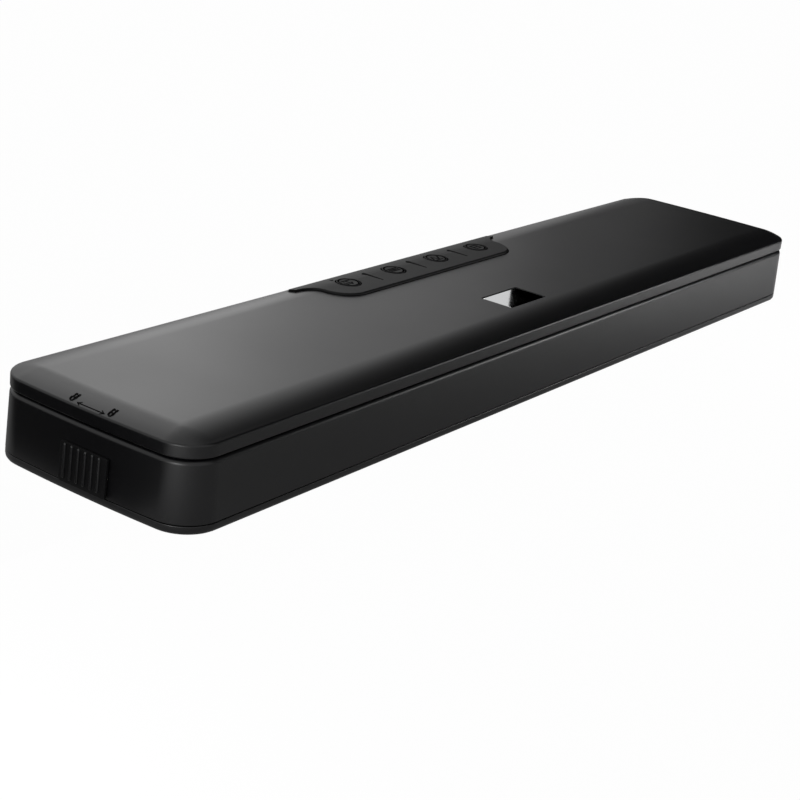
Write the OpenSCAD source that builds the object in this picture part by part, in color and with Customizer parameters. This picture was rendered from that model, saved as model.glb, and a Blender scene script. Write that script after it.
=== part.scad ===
// Slim vacuum sealer: a base with pump, heating strip and lock shaft, and a hinged lid with four buttons.
// X runs along the length, the bag goes in from -Y, the lid turns about its hinge at +Y, and Z is up.
// Sizes are millimetres. Pieces are drawn about the body's own centre lines and placed() moves them all.

/* [Body] */
// Length between the ends of the long sides
body_len = 360; // [340:1:400]
// Depth from front to rear at the rim
body_depth = 74.7; // [74:0.1:84]
// Radius of the four corners seen from above
corner_r = 11.2; // [8:0.1:14]
// How far each end bows out past the ends of the long sides
end_bow = 1.3; // [0.5:0.1:3]
// Height of the base from the cover's underside to its rim
base_h = 21; // [20.6:0.1:24]
// Outward lean of the base's walls towards the bottom, in degrees
wall_lean = 2.2; // [0.5:0.1:4]
// Thickness of the housing walls
wall = 2; // [1.6:0.1:2.4]
// Thickness of the deck under the lid
deck_t = 1.8; // [1.4:0.1:2.2]
// Radius of the rounded rim at the top of the base
rim_r = 1.4; // [0.6:0.1:2]

/* [Bottom cover] */
// Height of the bottom cover's visible band
cover_band = 2.95; // [2.4:0.05:4]
// Chamfer round the bottom cover's lower edge
cover_chamfer = 1.45; // [0.8:0.05:2]
// Thickness of the bottom cover's floor
cover_floor = 1.8; // [1.4:0.1:2.2]
// Width of the seam between bottom cover and housing
seam = 0.2; // [0.1:0.05:0.4]
// Radius of a rubber foot
foot_r = 6; // [4:0.5:8]
// Height of a foot below the bottom cover
foot_h = 1.5; // [1:0.1:3]

/* [Lid] */
// Gap between the base's rim and the lid's skirt
lid_gap = 0.5; // [0.4:0.05:1]
// Height of the lid's upright skirt
skirt_h = 4; // [3.5:0.1:6]
// Rise of the domed top above the skirt
crown_rise = 2.3; // [1.8:0.1:4]
// Width of the curved part of the dome at the front and the rear
crown_run_y = 12.5; // [8:0.5:16]
// Width of the curved part of the dome at the ends
crown_run_x = 9; // [6:0.5:16]
// Thickness of the lid's skirt
lid_wall = 1.8; // [1.4:0.1:2.2]
// Thickness of the lid's flat top
lid_top_t = 1.8; // [1.4:0.1:2]
// Thickness of the frame inside the lid
frame_t = 1.6; // [1.4:0.1:2]

/* [Hinge] */
// Distance of each hinge from the middle of the body
hinge_x = 100; // [80:1:120]
// Distance of the hinge axis behind the rim's rear face
hinge_back = 2.6; // [2.6:0.1:4]
// Outer radius of the knuckles
knuckle_r = 2.2; // [1.8:0.1:2.2]
// Length of the lid's knuckle
knuckle_len = 10; // [6:0.5:14]
// Length of each ear on the base
ear_len = 4; // [3:0.5:6]
// Radius of the steel hinge pin
hinge_pin_r = 1; // [0.8:0.05:1.2]

/* [Vacuum chamber] */
// Length of the trough
trough_len = 276; // [240:1:290]
// Width of the trough
trough_w = 15; // [13:0.5:16]
// Depth of the trough below the deck
trough_depth = 7.5; // [6:0.1:8]
// Width of the foam gaskets
gasket_w = 3.6; // [3:0.1:4]
// Length of the viewing window in the lid
window_len = 21.5; // [14:0.5:26]
// Width of the viewing window in the lid
window_w = 12.6; // [8:0.1:13]

/* [Sealing bar] */
// Length of the heating strip
strip_len = 300; // [260:1:306]
// Width of the heater bar
bar_w = 5; // [4:0.1:5.4]
// Width of the heating strip
strip_w = 3; // [2:0.1:3.6]

/* [Control panel] */
// Half width of the panel's raised front part
panel_half = 51.5; // [50:0.5:58]
// Radius of the panel's front corners
panel_corner = 10; // [5:0.5:11]
// Radius of the hollow curves where the panel widens to the rear
panel_flare = 7; // [5:0.5:10]
// How far the panel stands above the lid
panel_raise = 0.8; // [0.5:0.05:1.2]
// Distance of the panel's front edge behind the body's centre line
panel_front = 14.5; // [13:0.5:16]
// Distance of the panel's rear edge in front of the rim's rear face
panel_back = 3.8; // [3.6:0.1:5]
// Distance between neighbouring buttons
button_pitch = 25.3; // [22:0.1:26]
// Radius of a button
button_r = 4.1; // [3.6:0.1:4.8]
// Travel of a button
button_travel = 0.5; // [0.3:0.05:0.5]

/* [Lock] */
// Width of the slider's cap
slider_w = 17.6; // [17.2:0.1:22]
// Height of the slider's cap
slider_h = 11.5; // [9:0.1:12.5]
// Thickness of the slider's cap
slider_t = 0.9; // [0.9:0.1:2]
// Distance of the resting slider behind the body's centre line
slider_y = -1.2; // [-1.2:0.1:3]
// Travel of the slider towards the front
slider_travel = 12; // [10:0.5:12]
// Number of finger ribs on the slider
slider_ribs = 6; // [4:1:6]
// Radius of the lock shaft
shaft_r = 1.5; // [1.2:0.1:1.8]
// Radius of the crank from the shaft to its pin
crank_r = 12; // [12:0.1:12.2]
// Height of the lock shaft above the bottom cover's underside
shaft_h = 5; // [4.8:0.1:5.2]
// Radius of the keeper bar's place about the shaft
keeper_reach = 9.5; // [9:0.1:9.8]
// Distance of each hook from the body's end
hook_inset = 19.3; // [18:0.1:22]
// Thickness of a hook
hook_t = 3; // [2:0.1:3.4]

/* [Pump and electrics] */
// Diameter of the pump motor
motor_d = 20.4; // [18:0.1:21]
// Height of the motor over its two flats
motor_flat = 15.4; // [13:0.1:15.6]
// Length of the motor can
motor_len = 27; // [20:0.5:32]
// Length of the pump head
pump_len = 25; // [20:0.5:28]
// Distance of the motor's near end from the middle of the body
pump_x = 52; // [50:0.5:56]
// Length of the circuit board in the base
board_len = 110; // [90:1:120]
// Width of the circuit board in the base
board_w = 23; // [20:0.5:23]
// Distance of the mains inlet from the body's right end
inlet_inset = 35; // [32:0.5:42]
// Width of the mains inlet's body
inlet_w = 20; // [19:0.5:22]
// Height of the mains inlet's body
inlet_h = 12.4; // [12:0.1:13]

/* [Hidden] */
$fn = 64;
// Levels, from the floor up
cover_z = foot_h;
floor_z = cover_z + cover_floor;
seam_z = cover_z + cover_band;
rim_z = cover_z + base_h;
under_deck_z = rim_z - deck_t;
skirt_z = rim_z + lid_gap;
crease_z = skirt_z + skirt_h;
top_z = crease_z + crown_rise;
// Plan of the body
half_len = body_len / 2;
half_depth = body_depth / 2;
end_x = half_len + end_bow;
bow_r = (half_depth * half_depth + end_bow * end_bow) / (2 * end_bow);
corner_steps = 10;
bow_steps = 6;
lean = tan(wall_lean);
foot_out = lean * (rim_z - seam_z);
front_in = -half_depth + wall;
rear_in = half_depth - wall;
cover_lip = 0.7;
cover_lip_t = 1.1;
foot_in_x = 30;
foot_in_y = 12;
foot_seat = 0.8;
foot_bevel = 0.4;
vents = 9;
vent_pitch = 4;
vent_w = 1.5;
vent_len = 16;
vent_front = 14;
slab = 0.02;
cut = 1;
// Fits
hair = 0.05;
loose = 0.3;
snug = 0.1;
// Gasket, trough and sealing bar, from the front wall back
bar_margin = 0.6;
bar_t = 1.8;
strip_t = 0.2;
strip_end = 3;
tape_t = 0.1;
terminal_len = 4;
terminal_t = 0.3;
bar_gap = 0.9;
lip = 0.5;
bar_y = front_in + bar_margin + bar_w / 2;
bar_len = strip_len + 2 * strip_end;
gasket_front = bar_y + bar_w / 2 + bar_gap;
trough_y = gasket_front + gasket_w + lip + trough_w / 2;
trough_wall = 1.5;
trough_z = rim_z - trough_depth;
gasket_len = trough_len + 2 * (lip + gasket_w);
gasket_y_w = trough_w + 2 * (lip + gasket_w);
gasket_groove = 1.6;
gasket_proud = 0.25;
pad_margin = 1;
pad_extra = 1.8;
pad_t = deck_t + pad_extra;
pad_rear = trough_y + gasket_y_w / 2 + pad_margin;
pad_half = bar_len / 2 + pad_margin;
// Lid frame and its strips
frame_drop = 1;
frame_z = skirt_z + frame_drop;
frame_top = frame_z + frame_t;
ceiling_z = top_z - lid_top_t;
rim_ceiling_z = crease_z - 1;
ceiling_inset = 10;
upper_groove = 1;
frame_hollow = 0.6;
gasket_low = skirt_z + 0.05;
strip_low = skirt_z;
crown_steps = 7;
skirt_edge = 0.4;
crease_edge = 0.3;
// Hinge
axis_y = half_depth + hinge_back;
axis_drop = 0.25;
axis_z = rim_z - axis_drop;
ear_drop = 4;
pin_head_r = 1.7;
pin_head_t = 0.6;
hinge_half = knuckle_len / 2 + loose + ear_len;
// Lock shaft, crank, hooks and keepers
shaft_gap = 1.1;
shaft_y = pad_rear + shaft_r + shaft_gap;
shaft_z = cover_z + shaft_h;
half_turn = asin(slider_travel / 2 / crank_r);
crank_pin_r = 1.2;
crank_slack = 0.15;
crank_eye = 0.6;
arm_w = 3.2;
crank_t = 2;
carriage_t = 2;
crank_clear = 0.5;
keeper_bar_r = 1;
jaw_slack = 0.2;
jaw_w = 2;
jaw_in = keeper_reach + keeper_bar_r + jaw_slack;
jaw_out = jaw_in + jaw_w;
hub_wall = 1.7;
hub_r = shaft_r + hub_wall;
hook_x = end_x - hook_inset;
hook_arm = 30;
jaw_tip = 12;
jaw_heel = 8;
keeper_ear_t = 1.2;
keeper_w = 4.4;
keeper_gap = hook_t + 2 * loose;
keeper_plate_t = 0.6;
keeper_ear_end = 0.4;
keeper_tail = 5;
bearing_t = 4;
bearing_in = 5.5;
bearing_wall = 1;
bearing_xs = [-hook_x - bearing_in, -hook_x / 3, hook_x / 3, hook_x + bearing_in];
carriage_end = 2;

// Slider
rib_pitch = 2.6;
rib_w = 0.9;
rib_t = 0.55;
stem_w = 4;
stem_h = 5;
stem_up = 5.2;
stem_z = cover_z + stem_up;
stem_margin = 0.6;
stem_y = slider_y + slider_w / 2 - stem_margin - loose - stem_w / 2;
carriage_y = stem_y - stem_w / 2 - slider_travel - carriage_end;
carriage_len = stem_w + 2 * slider_travel + 2 * carriage_end;
// The end wall bows in towards its corners, so the carriage clears it where it reaches farthest
carriage_reach = max(slider_travel - carriage_y, carriage_y + carriage_len);
carriage_x = bow_r - end_x - sqrt(pow(bow_r - wall, 2) - pow(carriage_reach, 2)) + loose;
crank_x = carriage_x + carriage_t + crank_clear;
carriage_low = 2.2;
rib_low = 1.1;
rib_end = 0.2;
wall_gap = 0.3;
seam_out = end_x + foot_out;
// Control panel
panel_rear = half_depth - panel_back;
panel_gap = 0.45;
panel_skin = 1.8;
panel_rim_t = 1.2;
panel_under = top_z + panel_raise - panel_skin;
panel_steps = 10;
flare_depth = 3;
corner_centre = [panel_half - panel_corner, panel_front + panel_corner];
flare_drop = corner_centre[1] - (panel_rear - flare_depth - panel_flare);
panel_turn = asin(flare_drop / (panel_corner + panel_flare));
panel_wide = corner_centre[0] + (panel_corner + panel_flare) * cos(panel_turn);
flare_centre = [panel_wide, corner_centre[1] - flare_drop];
panel_rim_drop = 0.4;
panel_rim_z = ceiling_z - panel_rim_drop;
panel_boss_r = 1.6;
panel_screw_r = 0.8;
panel_screw_end = 0.4;
button_back = 10.2;
button_y = panel_front + button_back;
button_gap = 0.5;
button_flange = 0.8;
button_flange_t = 0.5;
button_proud = 0.1;
divider_len = 9.2;
divider_w = 1.6;
divider_tip = 0.8;
divider_depth = 0.3;
divider_front = 0.6;
divider_y = button_y - divider_front;
led_r = 0.7;
led_reach = button_r + button_flange + loose + led_r;
led_turn = 21.4;
led_x = -1.5 * button_pitch - led_reach * sin(led_turn);
led_y = button_y + led_reach * cos(led_turn);
control_board_t = 0.8;
control_board_in_x = 7;
control_board_in_y = 2.5;
control_board_half = panel_half - control_board_in_x;
control_board_y = panel_front + control_board_in_y;
switch_w = 5;
switch_t = 0.4;
switch_top = frame_top + control_board_t + switch_t;
dome_r = 1.5;
dome_t = 0.15;
button_low = switch_top + dome_t + button_travel + hair;
// Window
seat_wall = 1.5;
lens_gap = 0.1;
lens_t = 1.7;
seat_lip = 1.5;
// Screws
screw_r = 1;
screw_head_r = 2;
screw_head_t = 0.6;
small_head_r = 1.8;
small_head_t = 1;
boss_r = 3;
lid_boss_r = 2.4;
lid_screw_reach = 1.8;
lid_hole_spare = 0.2;
case_screw_r = 1.3;
case_head_r = 2.5;
case_head_t = 1;
case_screw_len = 9;
case_head_sunk = 0.2;
cross_len = 3;
cross_w = 0.6;
cross_depth = 0.5;
// Pump and its line to the trough
motor_y = rear_in - 2 - motor_d / 2;
motor_z = floor_z + loose + motor_flat / 2;
pump_w = 18;
pump_h = 15.8;
hose_x = pump_x + motor_len + pump_len / 2;
hose_out = 2.4;
hose_in = 1.6;
nozzle_bore = 0.9;
nozzle_rim = 0.7;
nozzle_rim_t = 0.6;
nozzle_reach = 6;
hose_z = trough_z + hose_in + nozzle_rim + loose;
spigot_len = 5;
pump_front = motor_y - pump_w / 2;
strap_w = 8;
strap_t = 0.8;
strap_foot = 6;
strap_inset = 9;
strap_x = pump_x + strap_inset;
strap_hole_y = motor_y - motor_d / 2 - strap_foot / 2 - strap_t / 2;
motor_nose_r = 3;
motor_nose_t = 1.6;
pump_slit = 1.2;
pump_slit_depth = 0.8;
trough_rear = trough_y + trough_w / 2;
// Circuit board
board_x = -70;
board_y = shaft_y + shaft_r + 3.2 + board_w / 2;
board_lift = 3;
board_t = 1.6;
board_z = floor_z + board_lift;
board_top = board_z + board_t;
board_hole = 4;
board_post_r = 2.4;
transformer_x = board_x - 0.07 * board_len;
transformer_size = [17, 15, 9.5];
transformer_foot = 1.2;
transformer_foot_in = 2;
transformer_foot_t = 3;
transformer_foot_y = (transformer_size[1] + transformer_foot) / 2;
relay_x = board_x + 0.16 * board_len;
relay_size = [15, 10, 9];
capacitor_x = board_x - 0.31 * board_len;
capacitor_r = 4;
capacitor_len = 14;
part_gap = 0.4;
fuse_x = board_x + 0.38 * board_len;
fuse_r = 2.6;
fuse_len = 14;
fuse_clip = [4.4, 2, 1.2];
fuse_clip_y = fuse_len / 2 - 1.5;
// Lid sensor and its magnet
sensor_x = 12;
sensor_y = 14;
sensor_size = [16, 4, 3];
sensor_lead = 4;
sensor_lead_r = 0.4;
magnet_r = 2.5;
magnet_t = 0.8;
// Mains inlet
inlet_depth = 15;
inlet_x = half_len - inlet_inset;
inlet_recess = 0.4;
inlet_pin_short = 1;
inlet_z = seam_z + loose + inlet_h / 2;
inlet_face = half_depth + lean * (rim_z - inlet_z) - inlet_recess;
socket_r = 4.2;
socket_pitch = 6.4;
socket_depth = 10;
inlet_pin_r = 1.2;
inlet_pin_pitch = 8.6;
// The hinge knuckles stand out at the rear and the slider at the left end: these centre the whole part
rear_reach = axis_y + knuckle_r;
front_reach = half_depth + foot_out;
left_reach = seam_out + (wall_gap + slider_t + rib_t) / cos(wall_lean);
body_x = (left_reach - seam_out) / 2;
body_y = (front_reach - rear_reach) / 2;
// Screw places, each by its distances from the edges
case_screw_in = [11, 9];
case_mid_in = 5.6;
case_mid_x = 40;
case_screws = [
    [half_len - case_screw_in[0], half_depth - case_screw_in[1]],
    [case_mid_x, half_depth - case_mid_in]
];
lid_screw_in = 12;
lid_screw_front = 10;
lid_screw_rear = 9.4;
lid_mid_x = 76;
lid_screw_spots = [
    [half_len - lid_screw_in, lid_screw_front - half_depth],
    [half_len - lid_screw_in, half_depth - lid_screw_rear],
    [lid_mid_x, half_depth - lid_screw_rear]
];
panel_screw_in = [5, 5.5];
panel_rear_in = [1.5, 3];
panel_screw_spots = [
    [panel_half - panel_screw_in[0], panel_front + panel_screw_in[1]],
    [panel_half - panel_rear_in[0], panel_rear - panel_rear_in[1]]
];
button_board_spots = [for (i = [-1.5:1:1.5]) i * button_pitch];

// ---- Shared shapes

module placed() translate([body_x, body_y, 0]) children();

module both_ends() for (side = [-1, 1]) scale_x(side) children();

module scale_x(side) mirror([side < 0 ? 1 : 0, 0, 0]) children();

// The body's plan, brought in by in_x at the ends and in_y at the sides: one quarter is a corner arc that
// runs smoothly into half of the bowed end, and the rest mirrors it
function plan_quarter(in_x, in_y) = let (
    r = max(corner_r - max(in_x, in_y), 1),
    bow = bow_r - in_x,
    bow_x = end_x - bow_r,
    arc_y = half_depth - in_y - r,
    arc_x = bow_x + sqrt(pow(bow - r, 2) - pow(arc_y, 2)),
    join = atan2(arc_y, arc_x - bow_x)
) concat(
    [for (i = [0:corner_steps]) let (a = 90 - (90 - join) * i / corner_steps)
        [arc_x + r * cos(a), arc_y + r * sin(a)]],
    [for (i = [1:bow_steps]) let (a = join * (1 - i / bow_steps)) [bow_x + bow * cos(a), bow * sin(a)]]);

function with_mirror(points, flip, first) =
    concat(points, [for (i = [first:-1:0]) [points[i][0] * flip[0], points[i][1] * flip[1]]]);

module body_outline(in_x, in_y) {
    quarter = plan_quarter(in_x, in_y);
    half = with_mirror(quarter, [1, -1], len(quarter) - 2);
    polygon(with_mirror(half, [-1, 1], len(half) - 1));
}

module outline_slab(z, in_x, in_y) translate([0, 0, z]) linear_extrude(slab) body_outline(in_x, in_y);

module stadium(len, w) {
    square([len - w, w], center = true);
    for (side = [-1, 1]) translate([side * (len - w) / 2, 0]) circle(w / 2);
}

module gasket_ring(grow) difference() {
    stadium(gasket_len + 2 * grow, gasket_y_w + 2 * grow);
    stadium(gasket_len - 2 * gasket_w - 2 * grow, gasket_y_w - 2 * gasket_w - 2 * grow);
}

module block(low, size) translate(low) cube(size);

module pin_x(x0, x1, y, z, r) translate([x0, y, z]) rotate([0, 90, 0]) cylinder(h = x1 - x0, r = r);

module pin_y(x, y0, y1, z, r) translate([x, y1, z]) rotate([90, 0, 0]) cylinder(h = y1 - y0, r = r);

module pin_z(x, y, z0, z1, r) translate([x, y, z0]) cylinder(h = z1 - z0, r = r);

// A flat plate across X whose outline is drawn as y and z about the shaft
module shaft_plate(x, t) translate([x, shaft_y, shaft_z]) rotate([90, 0, 90]) linear_extrude(t) children();

module case_screw_places() for (x = [-1, 1], y = [-1, 1], spot = case_screws)
    translate([x * spot[0], y * spot[1], 0]) children();

module lid_screw_places() for (x = [-1, 1], spot = lid_screw_spots)
    translate([x * spot[0], spot[1], 0]) children();

module panel_screw_places() for (x = [-1, 1], spot = panel_screw_spots)
    translate([x * spot[0], spot[1], 0]) children();

// ---- Base

module housing_skin() hull() {
    outline_slab(seam_z, -foot_out, -foot_out);
    for (a = [0:30:90]) outline_slab(
        rim_z - rim_r + rim_r * sin(a) - slab,
        rim_r * (1 - cos(a)) - lean * rim_r * (1 - sin(a)),
        rim_r * (1 - cos(a)) - lean * rim_r * (1 - sin(a)));
}

module hinge_ears() both_ends() for (x = [-1, 1]) {
    ear_x = hinge_x + x * (hinge_half - ear_len / 2) - ear_len / 2;
    pin_x(ear_x, ear_x + ear_len, axis_y, axis_z, knuckle_r);
    block([ear_x, half_depth - wall / 2, axis_z - ear_drop], [ear_len, hinge_back + wall / 2, ear_drop]);
}

module keeper_slot() block(
    [hook_x - keeper_gap / 2 - keeper_ear_t - lip, shaft_y - keeper_w / 2 - 1.4, under_deck_z - cut],
    [keeper_gap + 2 * keeper_ear_t + 2 * lip, keeper_w + 2.2, deck_t + 2 * cut]);

module slider_slot() block(
    [-end_x - wall, stem_y - stem_w / 2 - slider_travel - loose, stem_z - loose],
    [3 * wall, stem_w + slider_travel + 2 * loose, stem_h + 2 * loose]);

module base_housing() color("#1b1b1d") placed() difference() {
    union() {
        difference() {
            housing_skin();
            translate([0, 0, seam_z - cut]) linear_extrude(under_deck_z - seam_z + cut)
                body_outline(wall, wall);
        }
        block([-pad_half, front_in - cut / 2, rim_z - pad_t],
            [2 * pad_half, pad_rear - front_in + cut / 2, pad_t]);
        translate([0, trough_y, trough_z - trough_wall]) linear_extrude(trough_depth)
            stadium(trough_len + 2 * trough_wall, trough_w + 2 * trough_wall);
        case_screw_places() pin_z(0, 0, floor_z, rim_z - deck_t / 2, boss_r);
        hinge_ears();
    }
    translate([0, trough_y, trough_z]) linear_extrude(trough_depth + cut) stadium(trough_len, trough_w);
    translate([0, trough_y, rim_z - gasket_groove]) linear_extrude(gasket_groove + cut) gasket_ring(0);
    block([-bar_len / 2, bar_y - bar_w / 2, rim_z - bar_t - strip_t],
        [bar_len, bar_w, bar_t + strip_t + cut]);
    both_ends() keeper_slot();
    slider_slot();
    block([inlet_x - inlet_w / 2, half_depth - 3 * wall, inlet_z - inlet_h / 2 + hair],
        [inlet_w, 4 * wall, inlet_h]);
    pin_y(hose_x, trough_rear - cut, trough_rear + trough_wall + cut, hose_z, hose_in + hair);
    pin_y(hose_x, trough_rear + trough_wall, pad_rear + cut, hose_z, hose_out + loose);
    case_screw_places() pin_z(0, 0, floor_z - cut, floor_z + case_screw_len, case_screw_r);
    both_ends() pin_x(hinge_x - hinge_half - cut, hinge_x + hinge_half + cut, axis_y, axis_z, hinge_pin_r);
}

module cover_skin() hull() {
    outline_slab(cover_z, cover_chamfer - foot_out, cover_chamfer - foot_out);
    outline_slab(cover_z + cover_chamfer, -foot_out, -foot_out);
    outline_slab(seam_z - seam - slab, -foot_out, -foot_out);
}

module foot_places() for (x = [-1, 1], y = [-1, 1])
    translate([x * (half_len - foot_in_x), y * (half_depth - foot_in_y), 0]) children();

module bottom_cover() color("#1d1d1f") placed() difference() {
    union() {
        difference() {
            cover_skin();
            translate([0, 0, floor_z]) linear_extrude(cover_band) body_outline(wall, wall);
        }
        translate([0, 0, floor_z - hair]) linear_extrude(cover_band - cover_floor + cover_lip) difference() {
            body_outline(wall + snug, wall + snug);
            body_outline(wall + snug + cover_lip_t, wall + snug + cover_lip_t);
        }
        board_places() pin_z(0, 0, floor_z - hair, board_z, board_post_r);
    }
    foot_places() pin_z(0, 0, cover_z - cut, cover_z + foot_seat, foot_r + hair);
    case_screw_places() {
        pin_z(0, 0, cover_z - cut, floor_z + cut, case_screw_r + snug);
        pin_z(0, 0, cover_z - cut, cover_z + case_head_t, case_head_r + snug);
        pin_z(0, 0, floor_z, floor_z + 3 * cut, boss_r + snug);
    }
    board_places() pin_z(0, 0, floor_z, board_z + cut, screw_r);
    block([-end_x, carriage_y - slider_travel - cut, seam_z - seam],
        [2 * wall, carriage_len + slider_travel + 2 * cut, 2 * wall]);
    block([inlet_x - inlet_w / 2 - loose, rear_in - 2 * wall, seam_z - seam],
        [inlet_w + 2 * loose, 2 * wall, 2 * wall]);
    vents();
}

module vents() for (i = [0:vents - 1])
    block([hose_x + (i - (vents - 1) / 2) * vent_pitch - vent_w / 2, vent_front - half_depth, cover_z - cut],
        [vent_w, vent_len, cover_floor + 2 * cut]);

module rubber_feet() color("#141414") placed() foot_places() {
    pin_z(0, 0, foot_bevel, cover_z + foot_seat, foot_r);
    cylinder(h = foot_bevel, r1 = foot_r - foot_bevel, r2 = foot_r);
}

module bottom_screws() color("#8d8f92") placed() case_screw_places() difference() {
    union() {
        pin_z(0, 0, cover_z + case_head_sunk, cover_z + case_head_t, case_head_r);
        pin_z(0, 0, cover_z + case_head_t, floor_z + case_screw_len - 1, case_screw_r);
    }
    for (turn = [0, 90]) rotate(turn)
        block([-cross_len / 2, -cross_w / 2, cover_z], [cross_len, cross_w, case_head_sunk + cross_depth]);
}

module lower_gasket() color("#3b3b3d") placed() translate([0, trough_y, rim_z - gasket_groove])
    linear_extrude(gasket_groove + gasket_proud) gasket_ring(-snug);

module heater_bar() color("#7a2f22") placed() block(
    [-bar_len / 2 + snug, bar_y - bar_w / 2 + snug, rim_z - bar_t - strip_t],
    [bar_len - 2 * snug, bar_w - 2 * snug, bar_t]);

module heating_strip() color("#b9b4a8") placed() block(
    [-strip_len / 2, bar_y - strip_w / 2, rim_z - strip_t],
    [strip_len, strip_w, strip_t]);

module strip_tape() color("#a98d62") placed() block(
    [-strip_len / 2 + terminal_len, bar_y - bar_w / 2 + snug, rim_z],
    [strip_len - 2 * terminal_len, bar_w - 2 * snug, tape_t]);

module strip_terminals() color("#b08d3e") placed() both_ends()
    block([strip_len / 2 - terminal_len + cut, bar_y - bar_w / 2 + 2 * snug, rim_z],
        [terminal_len, bar_w - 4 * snug, terminal_t]);

// ---- Pump line

module pump_motor() color("#a9abae") placed() {
    intersection() {
        pin_x(pump_x, pump_x + motor_len, motor_y, motor_z, motor_d / 2);
        block([pump_x, motor_y - motor_d / 2, motor_z - motor_flat / 2], [motor_len, motor_d, motor_flat]);
    }
    pin_x(pump_x - motor_nose_t, pump_x, motor_y, motor_z, motor_nose_r);
}

module pump_head() color("#2a2c30") placed() {
    difference() {
        block([pump_x + motor_len, pump_front, floor_z], [pump_len, pump_w, pump_h]);
        for (i = [1:4]) translate([pump_x + motor_len + i * pump_len / 5, pump_front - cut, floor_z + pump_h])
            block([-pump_slit / 2, 0, -pump_slit_depth], [pump_slit, pump_w + 2 * cut, cut]);
    }
    difference() {
        pin_y(hose_x, pump_front - spigot_len, pump_front, hose_z, hose_in);
        pin_y(hose_x, pump_front - spigot_len - cut, pump_front, hose_z, nozzle_bore);
    }
}

module pump_strap() color("#9fa1a4") placed() difference() {
    union() {
        block([strap_x, motor_y - motor_d / 2 - strap_t, floor_z], [strap_w, strap_t, motor_flat + loose]);
        block([strap_x, motor_y + motor_d / 2, floor_z], [strap_w, strap_t, motor_flat + loose]);
        block([strap_x, motor_y - motor_d / 2 - strap_t, floor_z + motor_flat + loose],
            [strap_w, motor_d + 2 * strap_t, strap_t]);
        block([strap_x, motor_y - motor_d / 2, floor_z], [strap_w, motor_d, loose]);
        block([strap_x, motor_y - motor_d / 2 - strap_foot, floor_z], [strap_w, strap_foot, strap_t]);
    }
    pin_z(strap_x + strap_w / 2, strap_hole_y, floor_z - cut, floor_z + 2 * strap_t, screw_r + snug);
}

module pump_screws() color("#8d8f92") placed() {
    head_z = floor_z + strap_t;
    pin_z(strap_x + strap_w / 2, strap_hole_y, head_z, head_z + small_head_t, small_head_r);
    pin_z(strap_x + strap_w / 2, strap_hole_y, floor_z, head_z, screw_r);
}

module suction_nozzle() color("#d8d8d4") placed() difference() {
    union() {
        pin_y(hose_x, trough_rear - nozzle_rim_t, trough_rear, hose_z, hose_in + nozzle_rim);
        pin_y(hose_x, trough_rear, trough_rear + trough_wall + nozzle_reach, hose_z, hose_in);
    }
    pin_y(hose_x, trough_rear - cut, trough_rear + trough_wall + nozzle_reach + cut, hose_z, nozzle_bore);
}

module vacuum_hose() color("#d9d7cf") placed() difference() {
    pin_y(hose_x, trough_rear + trough_wall + loose, pump_front - loose, hose_z, hose_out);
    pin_y(hose_x, trough_rear, pump_front + cut, hose_z, hose_in);
}

// ---- Electrics in the base

module board_places() for (x = [-1, 1], y = [-1, 1])
    translate([board_x + x * (board_len / 2 - board_hole), board_y + y * (board_w / 2 - board_hole), 0])
        children();

module power_board() color("#1f5a38") placed() difference() {
    block([board_x - board_len / 2, board_y - board_w / 2, board_z], [board_len, board_w, board_t]);
    board_places() pin_z(0, 0, board_z - cut, board_top + cut, screw_r + snug);
}

module board_screws() color("#8d8f92") placed() board_places() {
    pin_z(0, 0, board_top, board_top + small_head_t, small_head_r);
    pin_z(0, 0, floor_z, board_top, screw_r);
}

module transformer() color("#c8a93c") placed() {
    block([transformer_x, board_y - transformer_size[1] / 2, board_top], transformer_size);
    for (y = [-1, 1]) block(
        [transformer_x + transformer_foot_in, board_y + y * transformer_foot_y - transformer_foot / 2,
            board_top],
        [transformer_size[0] - 2 * transformer_foot_in, transformer_foot, transformer_foot_t]);
}

module capacitors() color("#26324d") placed() for (y = [-1, 1])
    pin_x(capacitor_x, capacitor_x + capacitor_len,
        board_y + y * (capacitor_r + part_gap), board_top + capacitor_r, capacitor_r);

module relay() color("#2b63a6") placed() block([relay_x, board_y - relay_size[1] / 2, board_top], relay_size);

module fuse() color("#cfd3d6") placed() {
    pin_y(fuse_x, board_y - fuse_len / 2, board_y + fuse_len / 2, board_top + fuse_r + part_gap, fuse_r);
    for (y = [-1, 1])
        block([fuse_x - fuse_clip[0] / 2, board_y + y * fuse_clip_y - fuse_clip[1] / 2, board_top],
            fuse_clip);
}

module socket_outline() {
    square([socket_pitch, 2 * socket_r], center = true);
    for (x = [-1, 1]) translate([x * socket_pitch / 2, 0]) circle(socket_r);
}

module mains_inlet() color("#101011") placed() difference() {
    block([inlet_x - inlet_w / 2 + hair, inlet_face - inlet_depth, inlet_z - inlet_h / 2 + 2 * hair],
        [inlet_w - 2 * hair, inlet_depth, inlet_h - 2 * hair]);
    translate([inlet_x, inlet_face + cut, inlet_z]) rotate([90, 0, 0]) linear_extrude(socket_depth + cut)
        socket_outline();
}

module inlet_pins() color("#c9ccce") placed() for (x = [-1, 1]) pin_y(inlet_x + x * inlet_pin_pitch / 2,
    inlet_face - socket_depth, inlet_face - inlet_pin_short, inlet_z, inlet_pin_r);

module lid_sensor() color("#8fa39a") placed() {
    block([sensor_x, sensor_y - sensor_size[1] / 2, under_deck_z - sensor_size[2]], sensor_size);
    for (x = [sensor_x - sensor_lead, sensor_x + sensor_size[0]])
        pin_x(x, x + sensor_lead, sensor_y, under_deck_z - sensor_size[2] / 2, sensor_lead_r);
}

// ---- Hinge

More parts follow.
